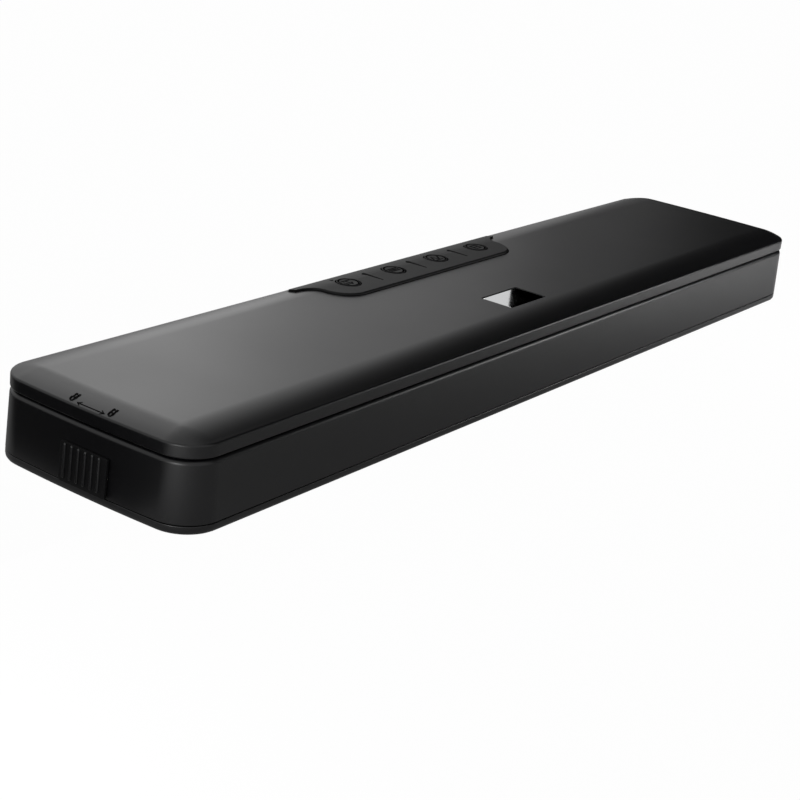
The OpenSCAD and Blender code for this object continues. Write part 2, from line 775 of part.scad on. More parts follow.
module hinge_pins() color("#b6b8ba") placed() both_ends() {
    pin_x(hinge_x - hinge_half, hinge_x + hinge_half, axis_y, axis_z, hinge_pin_r);
    pin_x(hinge_x - hinge_half - pin_head_t, hinge_x - hinge_half, axis_y, axis_z, pin_head_r);
    pin_x(hinge_x + hinge_half, hinge_x + hinge_half + pin_head_t, axis_y, axis_z, pin_head_r);
}

// ---- Lock

module shaft_bearings() color("#d6d2c6") placed() for (x = bearing_xs) difference() {
    block([x - bearing_t / 2, shaft_y - hub_r - bearing_wall, floor_z],
        [bearing_t, 2 * (hub_r + bearing_wall), shaft_h + hub_r - cover_floor]);
    pin_x(x - bearing_t, x + bearing_t, shaft_y, shaft_z, shaft_r + hair);
}

module lock_shaft() color("#a7a9ab") placed()
    pin_x(crank_x, hook_x + bearing_in + bearing_t / 2 + cut, shaft_y, shaft_z, shaft_r);

// The crank leans back by half its turn at rest
module shaft_crank() color("#d6d2c6") placed() {
    pin_y_rest = shaft_y + crank_r * sin(half_turn);
    pin_z_rest = shaft_z + crank_r * cos(half_turn);
    difference() {
        shaft_plate(crank_x, crank_t) {
            circle(hub_r);
            rotate(-half_turn) {
                translate([-arm_w / 2, 0]) square([arm_w, crank_r]);
                translate([0, crank_r]) circle(crank_pin_r + crank_eye);
            }
        }
        pin_x(crank_x - cut, crank_x + crank_t + cut, shaft_y, shaft_z, shaft_r);
    }
    pin_x(carriage_x + loose, crank_x, pin_y_rest, pin_z_rest, crank_pin_r);
}

// The hook's jaw is an arc about the shaft, drawn in its locked place and turned back to its resting place
module hook(x) difference() {
    shaft_plate(x - hook_t / 2, hook_t) rotate(-2 * half_turn) {
        circle(hub_r);
        rotate(-hook_arm) translate([-arm_w / 2, 0]) square([arm_w, jaw_in + jaw_w / 2]);
        intersection() {
            difference() {
                circle(jaw_out);
                circle(jaw_in);
            }
            polygon([[0, 0], for (a = [-hook_arm - jaw_heel, jaw_tip]) 2 * jaw_out * [-sin(a), cos(a)]]);
        }
    }
    pin_x(x - hook_t, x + hook_t, shaft_y, shaft_z, shaft_r);
}

module left_hook() color("#d6d2c6") placed() hook(-hook_x);

module right_hook() color("#d6d2c6") placed() hook(hook_x);

// The cap stands off the leaning end wall, and its stem passes through the wall to the carriage
module lock_slider() color("#1b1b1d") placed() {
    translate([-seam_out, slider_y, seam_z]) rotate([0, wall_lean, 0]) {
        block([-wall_gap - slider_t, -slider_w / 2, loose], [slider_t, slider_w, slider_h]);
        for (i = [0:slider_ribs - 1]) translate([0, (i - (slider_ribs - 1) / 2) * rib_pitch, loose + rib_low])
            block([-wall_gap - slider_t - rib_t, -rib_w / 2, 0],
                [rib_t, rib_w, slider_h - rib_low - rib_end]);
    }
    block([-seam_out - wall_gap, stem_y - stem_w / 2, stem_z],
        [seam_out + wall_gap + carriage_x, stem_w, stem_h]);
}

module slider_carriage() color("#d6d2c6") placed() difference() {
    slot_w = 2 * (crank_pin_r + crank_slack);
    block([carriage_x, carriage_y, floor_z + carriage_low],
        [carriage_t, carriage_len, under_deck_z - floor_z - carriage_low - loose]);
    translate([carriage_x - cut, shaft_y + crank_r * sin(half_turn), shaft_z + crank_r * cos(half_turn)])
        block([0, -slot_w / 2, -crank_pin_r - loose],
            [carriage_t + 2 * cut, slot_w, crank_r * (1 - cos(half_turn)) + 2 * (crank_pin_r + loose)]);
}

module keeper(x) {
    keeper_low = shaft_z + keeper_reach - keeper_bar_r - keeper_ear_end;
    for (side = [-1, 1]) block(
        [x + side * (keeper_gap + keeper_ear_t) / 2 - keeper_ear_t / 2, shaft_y - keeper_w / 2, keeper_low],
        [keeper_ear_t, keeper_w, frame_z - keeper_low]);
    block([x - keeper_gap / 2 - keeper_ear_t, shaft_y - keeper_w / 2, frame_z - keeper_plate_t],
        [keeper_gap + 2 * keeper_ear_t, keeper_w + keeper_tail, keeper_plate_t]);
    pin_x(x - keeper_gap / 2, x + keeper_gap / 2, shaft_y, shaft_z + keeper_reach, keeper_bar_r);
}

module left_keeper() color("#a7a9ab") placed() keeper(-hook_x);

module right_keeper() color("#a7a9ab") placed() keeper(hook_x);

// ---- Lid

function crown_z(t) = crease_z + crown_rise * (1 - (1 - t) * (1 - t));

module lid_skin() hull() {
    outline_slab(skirt_z, skirt_edge, skirt_edge);
    outline_slab(skirt_z + skirt_edge, 0, 0);
    outline_slab(crease_z - crease_edge, 0, 0);
    for (i = [0:crown_steps]) {
        t = i / crown_steps;
        outline_slab(crown_z(t) - slab, crease_edge + (crown_run_x - crease_edge) * t,
            crease_edge + (crown_run_y - crease_edge) * t);
    }
}

// The right half of the panel's outline, from its front: a corner arc that runs smoothly into a hollow flare
function panel_edge(grow) = let (
    hollow = panel_flare - grow,
    flare_end = grow < 0 ? acos(grow / hollow) : 90,
    flare_span = 180 - panel_turn - flare_end
) concat(
    [for (i = [0:panel_steps]) let (a = -90 + (90 - panel_turn) * i / panel_steps)
        corner_centre + (panel_corner + grow) * [cos(a), sin(a)]],
    [for (i = [1:panel_steps]) let (a = flare_end + flare_span * (1 - i / panel_steps))
        flare_centre + hollow * [cos(a), sin(a)]],
    grow > 0 ? [[panel_wide + grow, flare_centre[1] + hollow]] : [],
    [[panel_wide + grow, panel_rear + grow]]);

// A groove that narrows towards the front of the panel
module divider_outline() hull() {
    translate([0, (divider_len - divider_w) / 2]) circle(d = divider_w);
    translate([0, (divider_tip - divider_len) / 2]) circle(d = divider_tip);
}

module panel_outline(grow) {
    edge = panel_edge(grow);
    polygon(with_mirror(edge, [-1, 1], len(edge) - 1));
}

module lid_knuckles() both_ends() {
    pin_x(hinge_x - knuckle_len / 2, hinge_x + knuckle_len / 2, axis_y, axis_z, knuckle_r);
    block([hinge_x - knuckle_len / 2, half_depth - lid_wall / 2, skirt_z + hair],
        [knuckle_len, hinge_back + lid_wall / 2, axis_z + knuckle_r - skirt_z - hair]);
}

module lid_cover() color("#1b1b1d") placed() difference() {
    union() {
        difference() {
            lid_skin();
            translate([0, 0, skirt_z - cut]) linear_extrude(rim_ceiling_z - skirt_z + cut)
                body_outline(lid_wall, lid_wall);
            translate([0, 0, skirt_z]) linear_extrude(ceiling_z - skirt_z)
                body_outline(ceiling_inset, ceiling_inset);
        }
        lid_screw_places() pin_z(0, 0, frame_top, ceiling_z + lid_top_t / 2, lid_boss_r);
        lid_knuckles();
    }
    block([-window_len / 2, trough_y - window_w / 2, ceiling_z - cut],
        [window_len, window_w, lid_top_t + 2 * cut]);
    translate([0, 0, rim_ceiling_z - cut]) linear_extrude(top_z) panel_outline(panel_gap);
    lid_screw_places() pin_z(0, 0, frame_top - cut, frame_top + lid_screw_reach + lid_hole_spare, screw_r);
    both_ends() pin_x(hinge_x - knuckle_len, hinge_x + knuckle_len, axis_y, axis_z, hinge_pin_r + hair);
}

module lid_frame() color("#232326") placed() difference() {
    translate([0, 0, frame_z]) linear_extrude(frame_t) body_outline(lid_wall + snug, lid_wall + snug);
    translate([0, trough_y, frame_z - cut]) linear_extrude(upper_groove + cut) gasket_ring(0);
    translate([0, trough_y, frame_z - cut]) linear_extrude(frame_hollow + cut) stadium(trough_len, trough_w);
    block([-bar_len / 2, bar_y - bar_w / 2, frame_z - cut], [bar_len, bar_w, upper_groove + cut]);
    block([seat_wall - window_len / 2, trough_y - window_w / 2 + seat_wall, frame_z - cut],
        [window_len - 2 * seat_wall, window_w - 2 * seat_wall, frame_t + 2 * cut]);
    lid_screw_places() pin_z(0, 0, frame_z - cut, frame_top + cut, screw_r + snug);
    panel_screw_places() pin_z(0, 0, frame_z - cut, frame_top + cut, screw_r + snug);
}

module upper_gasket() color("#3b3b3d") placed() translate([0, trough_y, gasket_low])
    linear_extrude(frame_z + upper_groove - gasket_low) gasket_ring(-snug);

module pressure_strip() color("#b5473a") placed() block(
    [-bar_len / 2 + snug, bar_y - bar_w / 2 + snug, strip_low],
    [bar_len - 2 * snug, bar_w - 2 * snug, frame_z + upper_groove - strip_low]);

module window_seat() color("#2a2a2d") placed() difference() {
    block([-window_len / 2 - seat_wall, trough_y - window_w / 2 - seat_wall, frame_top],
        [window_len + 2 * seat_wall, window_w + 2 * seat_wall, ceiling_z - frame_top]);
    block([seat_lip - window_len / 2, trough_y - window_w / 2 + seat_lip, frame_top - cut],
        [window_len - 2 * seat_lip, window_w - 2 * seat_lip, ceiling_z]);
}

module window_lens() color([0.1, 0.1, 0.12, 0.6]) placed() block(
    [lens_gap - window_len / 2, trough_y - window_w / 2 + lens_gap, ceiling_z],
    [window_len - 2 * lens_gap, window_w - 2 * lens_gap, lens_t]);

// ---- Control panel

module panel_cover() color("#1f1f21") placed() difference() {
    union() {
        intersection() {
            translate([0, 0, panel_under]) linear_extrude(top_z) panel_outline(0);
            translate([0, 0, panel_raise]) lid_skin();
        }
        translate([0, 0, panel_rim_z]) linear_extrude(panel_under - panel_rim_z + hair) difference() {
            panel_outline(0);
            panel_outline(-panel_rim_t);
        }
        panel_screw_places() pin_z(0, 0, frame_top, panel_under + hair, panel_boss_r);
    }
    for (x = button_board_spots) pin_z(x, button_y, panel_under - cut, top_z + 2, button_r + button_gap);
    for (i = [-1:1]) translate([i * button_pitch, divider_y, top_z + panel_raise - divider_depth])
        linear_extrude(cut) divider_outline();
    pin_z(led_x, led_y, frame_top, top_z + 2, led_r + hair);
    panel_screw_places() pin_z(0, 0, frame_top - cut, panel_under - panel_screw_end, panel_screw_r);
}

module button_board() color("#1f5a38") placed()
    block([-control_board_half, control_board_y, frame_top],
        [2 * control_board_half, panel_rear - control_board_y - panel_rim_t - lip, control_board_t]);

module button_switches() color("#b9bcbf") placed() for (x = button_board_spots) {
    block([x - switch_w / 2, button_y - switch_w / 2, switch_top - switch_t], [switch_w, switch_w, switch_t]);
    pin_z(x, button_y, switch_top, switch_top + dome_t, dome_r);
}

module indicator_lens() color([0.3, 0.5, 0.9, 0.8]) placed()
    pin_z(led_x, led_y, frame_top + control_board_t, top_z + 0.05, led_r);

module button(index) {
    x = button_board_spots[index];
    pin_z(x, button_y, button_low + button_flange_t - hair, top_z + panel_raise + button_proud, button_r);
    pin_z(x, button_y, button_low, button_low + button_flange_t, button_r + button_flange);
}

module left_button() color("#1f1f21") placed() button(0);

module mid_left_button() color("#1f1f21") placed() button(1);

module mid_right_button() color("#1f1f21") placed() button(2);

module right_button() color("#1f1f21") placed() button(3);

module sensor_magnet() color("#9a9ca0") placed()
    pin_z(sensor_x + sensor_size[0] / 2, sensor_y - magnet_r - lip, frame_z - magnet_t, frame_z, magnet_r);

module lid_screws() color("#8d8f92") placed() lid_screw_places() {
    pin_z(0, 0, frame_z - screw_head_t, frame_z, screw_head_r);
    pin_z(0, 0, frame_z, frame_top + lid_screw_reach, screw_r);
}

module panel_screws() color("#8d8f92") placed() panel_screw_places() {
    pin_z(0, 0, frame_z - screw_head_t, frame_z, small_head_r);
    pin_z(0, 0, frame_z, panel_under - panel_screw_end - cut / 5, panel_screw_r);
}

base_housing();
bottom_cover();
rubber_feet();
bottom_screws();
lower_gasket();
heater_bar();
heating_strip();
strip_tape();
strip_terminals();
pump_motor();
pump_head();
pump_strap();
pump_screws();
suction_nozzle();
vacuum_hose();
power_board();
transformer();
capacitors();
relay();
fuse();
board_screws();
mains_inlet();
inlet_pins();
lid_sensor();
hinge_pins();
shaft_bearings();
lock_slider();
slider_carriage();
lock_shaft();
shaft_crank();
left_hook();
right_hook();
lid_cover();
lid_frame();
upper_gasket();
pressure_strip();
left_keeper();
right_keeper();
window_seat();
window_lens();
panel_cover();
button_board();
button_switches();
indicator_lens();
left_button();
mid_left_button();
mid_right_button();
right_button();
sensor_magnet();
lid_screws();
panel_screws();
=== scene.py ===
"""Slim black vacuum sealer: smooth shells, controls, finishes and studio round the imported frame.

Lengths in the classes are millimetres, in the body's own plan: X along the length, the bag side at -Y,
Z up from the floor. MM and Plan.place turn them into the frame's metres.
"""

import bmesh
import bpy
import logging
import math
from dataclasses import dataclass
from enum import Enum
from functools import cached_property
from mathutils import Matrix, Vector


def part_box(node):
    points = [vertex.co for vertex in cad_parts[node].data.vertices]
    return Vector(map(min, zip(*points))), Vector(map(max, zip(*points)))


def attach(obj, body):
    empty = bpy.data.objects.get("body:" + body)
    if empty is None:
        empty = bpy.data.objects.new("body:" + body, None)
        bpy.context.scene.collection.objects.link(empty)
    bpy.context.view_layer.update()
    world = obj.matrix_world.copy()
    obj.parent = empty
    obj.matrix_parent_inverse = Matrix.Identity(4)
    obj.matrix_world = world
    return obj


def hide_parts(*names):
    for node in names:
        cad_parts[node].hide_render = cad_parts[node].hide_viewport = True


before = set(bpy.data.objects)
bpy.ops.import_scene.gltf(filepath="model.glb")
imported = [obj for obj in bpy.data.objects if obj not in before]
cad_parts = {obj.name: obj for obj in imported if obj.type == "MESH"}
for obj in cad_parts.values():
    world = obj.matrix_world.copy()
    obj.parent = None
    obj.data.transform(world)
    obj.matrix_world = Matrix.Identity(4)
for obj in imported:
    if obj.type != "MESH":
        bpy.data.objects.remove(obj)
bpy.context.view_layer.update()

MM = 0.001
QUARTER = math.pi / 2
PAST = 1.0  # how far a cutting tool reaches past the faces that it cuts, in millimetres
INK_MM = 0.02  # how thick printed ink lies
WELD_M = 1e-7  # corners closer than this become one, in metres
AXIS_MM = 1e-4  # radius that stands for a point on the axis of a turned piece
LOG = logging.getLogger("sealer")
Point = tuple[float, float]
Point3 = tuple[float, float, float]
Ring = list[Vector]


# ---- Mesh helpers


def sweep(first: float, last: float, steps: int) -> list[float]:
    """Gives the numbers from first to last in equal steps, both ends included."""
    return [first + (last - first) * i / steps for i in range(steps + 1)]


def link(name: str, data: bpy.types.ID) -> bpy.types.Object:
    """Makes an object of some data and links it to the scene.

    Args:
        name: the object's name.
        data: its mesh, camera or lamp.

    Returns:
        The new object.
    """
    made = bpy.data.objects.new(name, data)
    bpy.context.scene.collection.objects.link(made)
    return made


def mesh_object(name: str, points: list[Vector], faces: list[list[int]]) -> bpy.types.Object:
    """Makes a mesh object with outward normals.

    Args:
        name: the piece's name.
        points: corners in metres, in the frame.
        faces: lists of corner numbers.

    Returns:
        The new object, linked to the scene.
    """
    mesh = bpy.data.meshes.new(name)
    mesh.from_pydata([tuple(p) for p in points], [], faces)
    work = bmesh.new()
    work.from_mesh(mesh)
    bmesh.ops.remove_doubles(work, verts=work.verts, dist=WELD_M)
    bmesh.ops.recalc_face_normals(work, faces=work.faces)
    work.to_mesh(mesh)
    work.free()
    return link(name, mesh)


def loft(name: str, rings: list[Ring]) -> bpy.types.Object:
    """Makes a closed solid through rings of equal point counts, capped at both ends.

    Args:
        name: the piece's name.
        rings: closed rings in order along the solid.

    Returns:
        The new object.
    """
    count = len(rings[0])
    points = [p for ring in rings for p in ring]
    faces = []
    for k in range(len(rings) - 1):
        for i in range(count):
            j = (i + 1) % count
            faces.append([k * count + i, k * count + j, (k + 1) * count + j, (k + 1) * count + i])
    last = (len(rings) - 1) * count
    faces.append(list(range(count - 1, -1, -1)))
    faces.append([last + i for i in range(count)])
    return mesh_object(name, points, faces)


def prism(name: str, outline: list[Vector], low: float, high: float) -> bpy.types.Object:
    """Extrudes a flat outline straight up.

    Args:
        name: the piece's name.
        outline: corners in metres, whose heights are ignored.
        low: lower height in millimetres.
        high: upper height in millimetres.

    Returns:
        The new object.
    """
    return loft(name, [[Vector((p.x, p.y, z * MM)) for p in outline] for z in (low, high)])


def lathe(name: str, profile: list[Point], steps: int, placing: Matrix) -> bpy.types.Object:
    """Turns a profile of (radius, height) about Z.

    Args:
        name: the piece's name.
        profile: points in millimetres from the axis at one end to the axis at the other.
        steps: how many steps make a full turn.
        placing: where the turned piece goes, in metres.

    Returns:
        The new object.
    """
    rings = []
    for radius, height in profile:
        reach = max(radius, AXIS_MM) * MM
        turns = sweep(0, math.tau, steps)[:-1]
        rings.append([placing @ Vector((reach * math.cos(a), reach * math.sin(a), height * MM)) for a in turns])
    return loft(name, rings)


def rod(radius: float, low: float, high: float, steps: int, placing: Matrix) -> bpy.types.Object:
    """Makes a round tool about Z between two heights in millimetres."""
    return lathe("tool", [(0, low), (radius, low), (radius, high), (0, high)], steps, placing)


def bake(piece: bpy.types.Object) -> bpy.types.Object:
    """Replaces a piece's mesh by what its modifiers make of it.

    Args:
        piece: the piece, which loses its modifiers.

    Returns:
        The piece.
    """
    bpy.context.view_layer.update()
    made = bpy.data.meshes.new_from_object(piece.evaluated_get(bpy.context.evaluated_depsgraph_get()))
    old = piece.data
    piece.modifiers.clear()
    piece.data = made
    bpy.data.meshes.remove(old)
    return piece


class Change(Enum):
    """What combine does to a solid with its tool."""

    CUT = "DIFFERENCE"
    JOIN = "UNION"
    KEEP_SHARED = "INTERSECT"


def combine(piece: bpy.types.Object, tool: bpy.types.Object, change: Change) -> bpy.types.Object:
    """Cuts a tool from a piece, joins it on or keeps what they share, and removes the tool.

    Args:
        piece: the solid that is changed.
        tool: the solid that is used up.
        change: what is done with the tool.

    Returns:
        The changed piece.
    """
    step = piece.modifiers.new("combine", "BOOLEAN")
    step.operation = change.value
    step.object = tool
    step.solver = "EXACT"
    bake(piece)
    bpy.data.objects.remove(tool)
    return piece


def soften(piece: bpy.types.Object, width: float, angle: float = 35) -> bpy.types.Object:
    """Rounds the sharp edges of a piece and smooths its shading.

    Args:
        piece: the solid.
        width: the rounding's width in millimetres.
        angle: edges sharper than this many degrees are rounded.

    Returns:
        The piece.
    """
    edge = piece.modifiers.new("edge", "BEVEL")
    edge.width = width * MM
    edge.segments = 2
    edge.limit_method = "ANGLE"
    edge.angle_limit = math.radians(angle)
    edge.use_clamp_overlap = True
    bake(piece)
    return shade(piece)


def shade(piece: bpy.types.Object, angle: float = 40) -> bpy.types.Object:
    """Shades a piece smooth, with large faces keeping their own normals.

    Args:
        piece: the piece.
        angle: edges sharper than this many degrees stay sharp.

    Returns:
        The piece.
    """
    for polygon in piece.data.polygons:
        polygon.use_smooth = True
    piece.data.set_sharp_from_angle(angle=math.radians(angle))
    weigh = piece.modifiers.new("normals", "WEIGHTED_NORMAL")
    weigh.keep_sharp = True
    return piece


def rounded_rectangle(centre: Point, size: Point, radius: float, steps: int = 4) -> list[Point]:
    """Gives the corners of a rounded rectangle in millimetres.

    Args:
        centre: its middle.
        size: its width and depth.
        radius: the corners' radius.
        steps: steps round each corner.

    Returns:
        Points in order round the outline.
    """
    points = []
    for quarter, (sx, sy) in enumerate(((1, 1), (-1, 1), (-1, -1), (1, -1))):
        cx = centre[0] + sx * (size[0] / 2 - radius)
        cy = centre[1] + sy * (size[1] / 2 - radius)
        for a in sweep(QUARTER * quarter, QUARTER * (quarter + 1), steps):
            points.append((cx + radius * math.cos(a), cy + radius * math.sin(a)))
    return points


# ---- The body's plan


@dataclass(frozen=True)
class Plan:
    """The body seen from above, and where its own centre lies in the frame.

    lean is how far the walls spread for each millimetre down, and least_corner keeps the outline
    round where it is brought far in.
    """

    length: float = 360
    depth: float = 74.7
    corner: float = 11.2
    least_corner: float = 1.0
    bow: float = 1.3
    rim_z: float = 22.5
    seam_z: float = 4.45
    lean: float = math.tan(math.radians(2.2))
    corner_steps: int = 22
    bow_steps: int = 10

    @property
    def end_x(self) -> float:
        """How far each bowed end reaches from the middle."""
        return self.length / 2 + self.bow

    @property
    def half_depth(self) -> float:
        """Half the depth at the rim."""
        return self.depth / 2

    @property
    def bow_radius(self) -> float:
        """Radius of the bowed ends."""
        return (self.half_depth**2 + self.bow**2) / (2 * self.bow)

    @cached_property
    def centre(self) -> Vector:
        """The plan's centre in the frame, from the lid cover's own box, in metres."""
        low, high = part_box("lid_cover")
        return Vector(((low.x + high.x) / 2, low.y + self.half_depth * MM, 0))

    def place(self, x: float, y: float, z: float) -> Vector:
        """Turns a point of the body's plan in millimetres to the frame's metres."""
        return self.centre + Vector((x, y, z)) * MM

    def stand(self, x: float, y: float) -> Matrix:
        """Gives the placing of an upright turned piece at a point of the plan."""
        return Matrix.Translation(self.place(x, y, 0))

    def spread(self, points: list[Point], z: float = 0) -> Ring:
        """Places flat points at one height."""
        return [self.place(x, y, z) for x, y in points]

    def quarter(self, in_x: float, in_y: float) -> list[Point]:
        """Gives a quarter of the outline: a corner arc that runs smoothly into half a bowed end.

        Args:
            in_x: how far the ends are brought in.
            in_y: how far the sides are brought in.

        Returns:
            Points from the long side to the middle of the end.
        """
        r = max(self.corner - max(in_x, in_y), self.least_corner)
        bow = self.bow_radius - in_x
        bow_x = self.end_x - self.bow_radius
        arc_y = self.half_depth - in_y - r
        arc_x = bow_x + math.sqrt((bow - r) ** 2 - arc_y**2)
        join = math.atan2(arc_y, arc_x - bow_x)
        turns = sweep(QUARTER, join, self.corner_steps)
        points = [(arc_x + r * math.cos(a), arc_y + r * math.sin(a)) for a in turns]
        for a in sweep(join, 0, self.bow_steps)[1:]:
            points.append((bow_x + bow * math.cos(a), bow * math.sin(a)))
        return points

    def outline(self, in_x: float, in_y: float) -> list[Point]:
        """Gives the whole outline.

        Args:
            in_x: how far the ends are brought in.
            in_y: how far the sides are brought in.

        Returns:
            Points in order round the outline.
        """
        quarter = self.quarter(in_x, in_y)
        half = quarter + [(x, -y) for x, y in reversed(quarter[:-1])]
        return half + [(-x, y) for x, y in reversed(half)]

    def ring(self, z: float, in_x: float, in_y: float | None = None) -> Ring:
        """Places the outline at a height; with one inset, it holds for ends and sides."""
        return self.spread(self.outline(in_x, in_x if in_y is None else in_y), z)


PLAN = Plan()


@dataclass(frozen=True)
class Hinge:
    """The lid's axis behind the rear wall, with the base's ears and the lid's knuckles about it.

    ear_dip is how far below the axis an ear's upper flank meets the wall. flank is the share of the
    radius at which a lug's back leaves its round.
    """

    x: float = 100.0
    behind: float = 2.6
    below_rim: float = 0.25
    radius: float = 2.19
    ears: tuple[Point, ...] = ((5.3, 9.3), (-9.3, -5.3))
    knuckles: tuple[Point, ...] = ((-5.0, 5.0),)
    ear_foot: float = -4.0
    knuckle_foot: float = 0.8
    ear_turn: float = -90.0
    knuckle_turn: float = -60.0
    ear_dip: float = 0.3
    in_wall: float = 0.8
    flank: float = 0.7
    steps: int = 12

    def lug(self, x0: float, x1: float, foot: float) -> bpy.types.Object:
        """Makes an ear or a knuckle: round about the axis, with a flank down or up to the wall.

        Args:
            x0: its end towards -X.
            x1: its end towards +X.
            foot: height of the flank's far edge from the axis, which is below it for an ear.

        Returns:
            The lug, whose flank ends inside the wall.
        """
        r, y, z = self.radius, PLAN.half_depth + self.behind, PLAN.rim_z - self.below_rim
        wall_y, near = PLAN.half_depth - self.in_wall, r * self.flank
        if foot < 0:
            turn = self.ear_turn
            flank = [(y - near, z + near), (y - r, z), (wall_y, z - self.ear_dip)]
            flank += [(wall_y, z + foot), (y, z + foot)]
        else:
            turn = self.knuckle_turn
            flank = [(wall_y, z + r), (wall_y, z + foot), (y - r, z + foot), (y - r, z)]
            flank += [(y - near, z - near), (y, z - r)]
        turns = sweep(math.radians(turn), QUARTER, self.steps)
        profile = [(y + r * math.cos(a), z + r * math.sin(a)) for a in turns] + flank
        return loft("tool", [[PLAN.place(x, py, pz) for py, pz in profile] for x in (x0, x1)])

    def join(self, shell: bpy.types.Object, spans: tuple[Point, ...], foot: float) -> None:
        """Joins lugs onto a shell at both hinges.

        Args:
            shell: the base's or the lid's shell.
            spans: each lug's ends along the hinge, from the hinge's middle.
            foot: height of the lugs' far edge from the axis.
        """
        for side in (-1, 1):
            for x0, x1 in spans:
                combine(shell, self.lug(side * self.x + x0, side * self.x + x1, foot), Change.JOIN)


HINGE = Hinge()


# ---- Finishes

# The Mix node's colour sockets, and the span in which most of a noise texture's values lie
COLOUR_A, COLOUR_B, COLOUR_OUT = 6, 7, 2
NOISE_LOW, NOISE_HIGH = 0.3, 0.7


def linear(code: str) -> tuple[float, float, float, float]:
    """Turns an sRGB hex colour to linear RGBA."""
    parts = [int(code[i : i + 2], 16) / 255 for i in (1, 3, 5)]
    return (*((c / 12.92 if c <= 0.04045 else ((c + 0.055) / 1.055) ** 2.4) for c in parts), 1.0)


def scale(size_mm: float) -> float:
    """Gives the scale at which a pattern repeats at a size in millimetres."""
    return 1 / (size_mm * MM)


def blank_tree(owner: bpy.types.Material | bpy.types.World) -> bpy.types.NodeTree:
    """Gives a material or a world an empty node tree.

    Args:
        owner: the material or world.

    Returns:
        Its node tree.
    """
    owner.use_nodes = True
    owner.node_tree.nodes.clear()
    return owner.node_tree


def add(tree: bpy.types.NodeTree, kind: str, settings: dict | None = None, **links: object) -> bpy.types.Node:
    """Adds a node with its settings and links.

    Args:
        tree: the node tree.
        kind: the node's type name.
        settings: properties, and default values of sockets by name or number.
        links: the output socket that feeds each input. The input is given by name with _ for a
            space, or by number after an n.

    Returns:
        The node.
    """
    node = tree.nodes.new(kind)
    for key, value in (settings or {}).items():
        if isinstance(key, str) and hasattr(node, key):
            setattr(node, key, value)
        else:
            node.inputs[key].default_value = value
    for key, output in links.items():
        numbered = key[0] == "n" and key[1:].isdigit()
        tree.links.new(output, node.inputs[int(key[1:]) if numbered else key.replace("_", " ")])
    return node


@dataclass(frozen=True)
class Finish:
    """A surface: its colour, its gloss and the fine relief that its making leaves.

    grain_mm is the size of the relief's grains and grain_depth_mm their depth. mottle is how much
    the roughness drifts over mottle_mm, as handling and moulding leave it, and tint is how much the
    colour drifts. settings are further sockets of the shader.
    """

    name: str
    colour: str
    roughness: float
    metallic: float = 0.0
    ior: float = 1.5
    grain_mm: float = 0.5
    grain_depth_mm: float = 0.004
    mottle: float = 0.04
    mottle_mm: float = 18.0
    tint: float = 0.06
    settings: tuple[tuple[str, float], ...] = ()

    def height(self, tree: bpy.types.NodeTree, place: bpy.types.NodeSocket) -> bpy.types.NodeSocket:
        """Gives the relief's height: here an even grain, as spark-eroded moulds leave it."""
        grain = add(tree, "ShaderNodeTexNoise", {"Scale": scale(self.grain_mm), "Detail": 2.0}, Vector=place)
        return grain.outputs[0]

    def colours(self, tree: bpy.types.NodeTree, place: bpy.types.NodeSocket) -> bpy.types.NodeSocket:
        """Gives the colour, drifting slightly in lightness as pigment does.

        Args:
            tree: the node tree.
            place: the socket of the object's own coordinates.

        Returns:
            The colour's socket.
        """
        drift = add(tree, "ShaderNodeTexNoise", {"Scale": scale(self.mottle_mm), "Detail": 3.0}, Vector=place)
        plain = linear(self.colour)[:3]
        dark, light = ((*(min(c * f, 1.0) for c in plain), 1.0) for f in (1 - self.tint, 1 + self.tint))
        ends = {"data_type": "RGBA", COLOUR_A: dark, COLOUR_B: light}
        return add(tree, "ShaderNodeMix", ends, n0=drift.outputs[0]).outputs[COLOUR_OUT]

    def material(self) -> bpy.types.Material:
        """Builds the material once.

        Returns:
            The material.
        """
        made = bpy.data.materials.get(self.name)
        if made:
            return made
        made = bpy.data.materials.new(self.name)
        tree = blank_tree(made)
        place = add(tree, "ShaderNodeTexCoord").outputs["Object"]
        wear = add(tree, "ShaderNodeTexNoise", {"Scale": scale(self.mottle_mm), "Detail": 4.0}, Vector=place)
        spans = {"From Min": NOISE_LOW, "From Max": NOISE_HIGH}
        spans |= {"To Min": self.roughness - self.mottle, "To Max": self.roughness + self.mottle}
        rough = add(tree, "ShaderNodeMapRange", spans, Value=wear.outputs[0])
        depth = {"Strength": 1.0, "Distance": self.grain_depth_mm * MM}
        relief = add(tree, "ShaderNodeBump", depth, Height=self.height(tree, place))
        shader = add(
            tree,
            "ShaderNodeBsdfPrincipled",
            {"Metallic": self.metallic, "IOR": self.ior, **dict(self.settings)},
            Base_Color=self.colours(tree, place),
            Roughness=rough.outputs[0],
            Normal=relief.outputs[0],
        )
        add(tree, "ShaderNodeOutputMaterial", {}, Surface=shader.outputs[0])
        return made

    def dress(self, *pieces: bpy.types.Object) -> None:
        """Gives each piece this finish alone.

        Args:
            pieces: the pieces, which lose any other material.
        """
        for piece in pieces:
            piece.data.materials.clear()
            piece.data.materials.append(self.material())


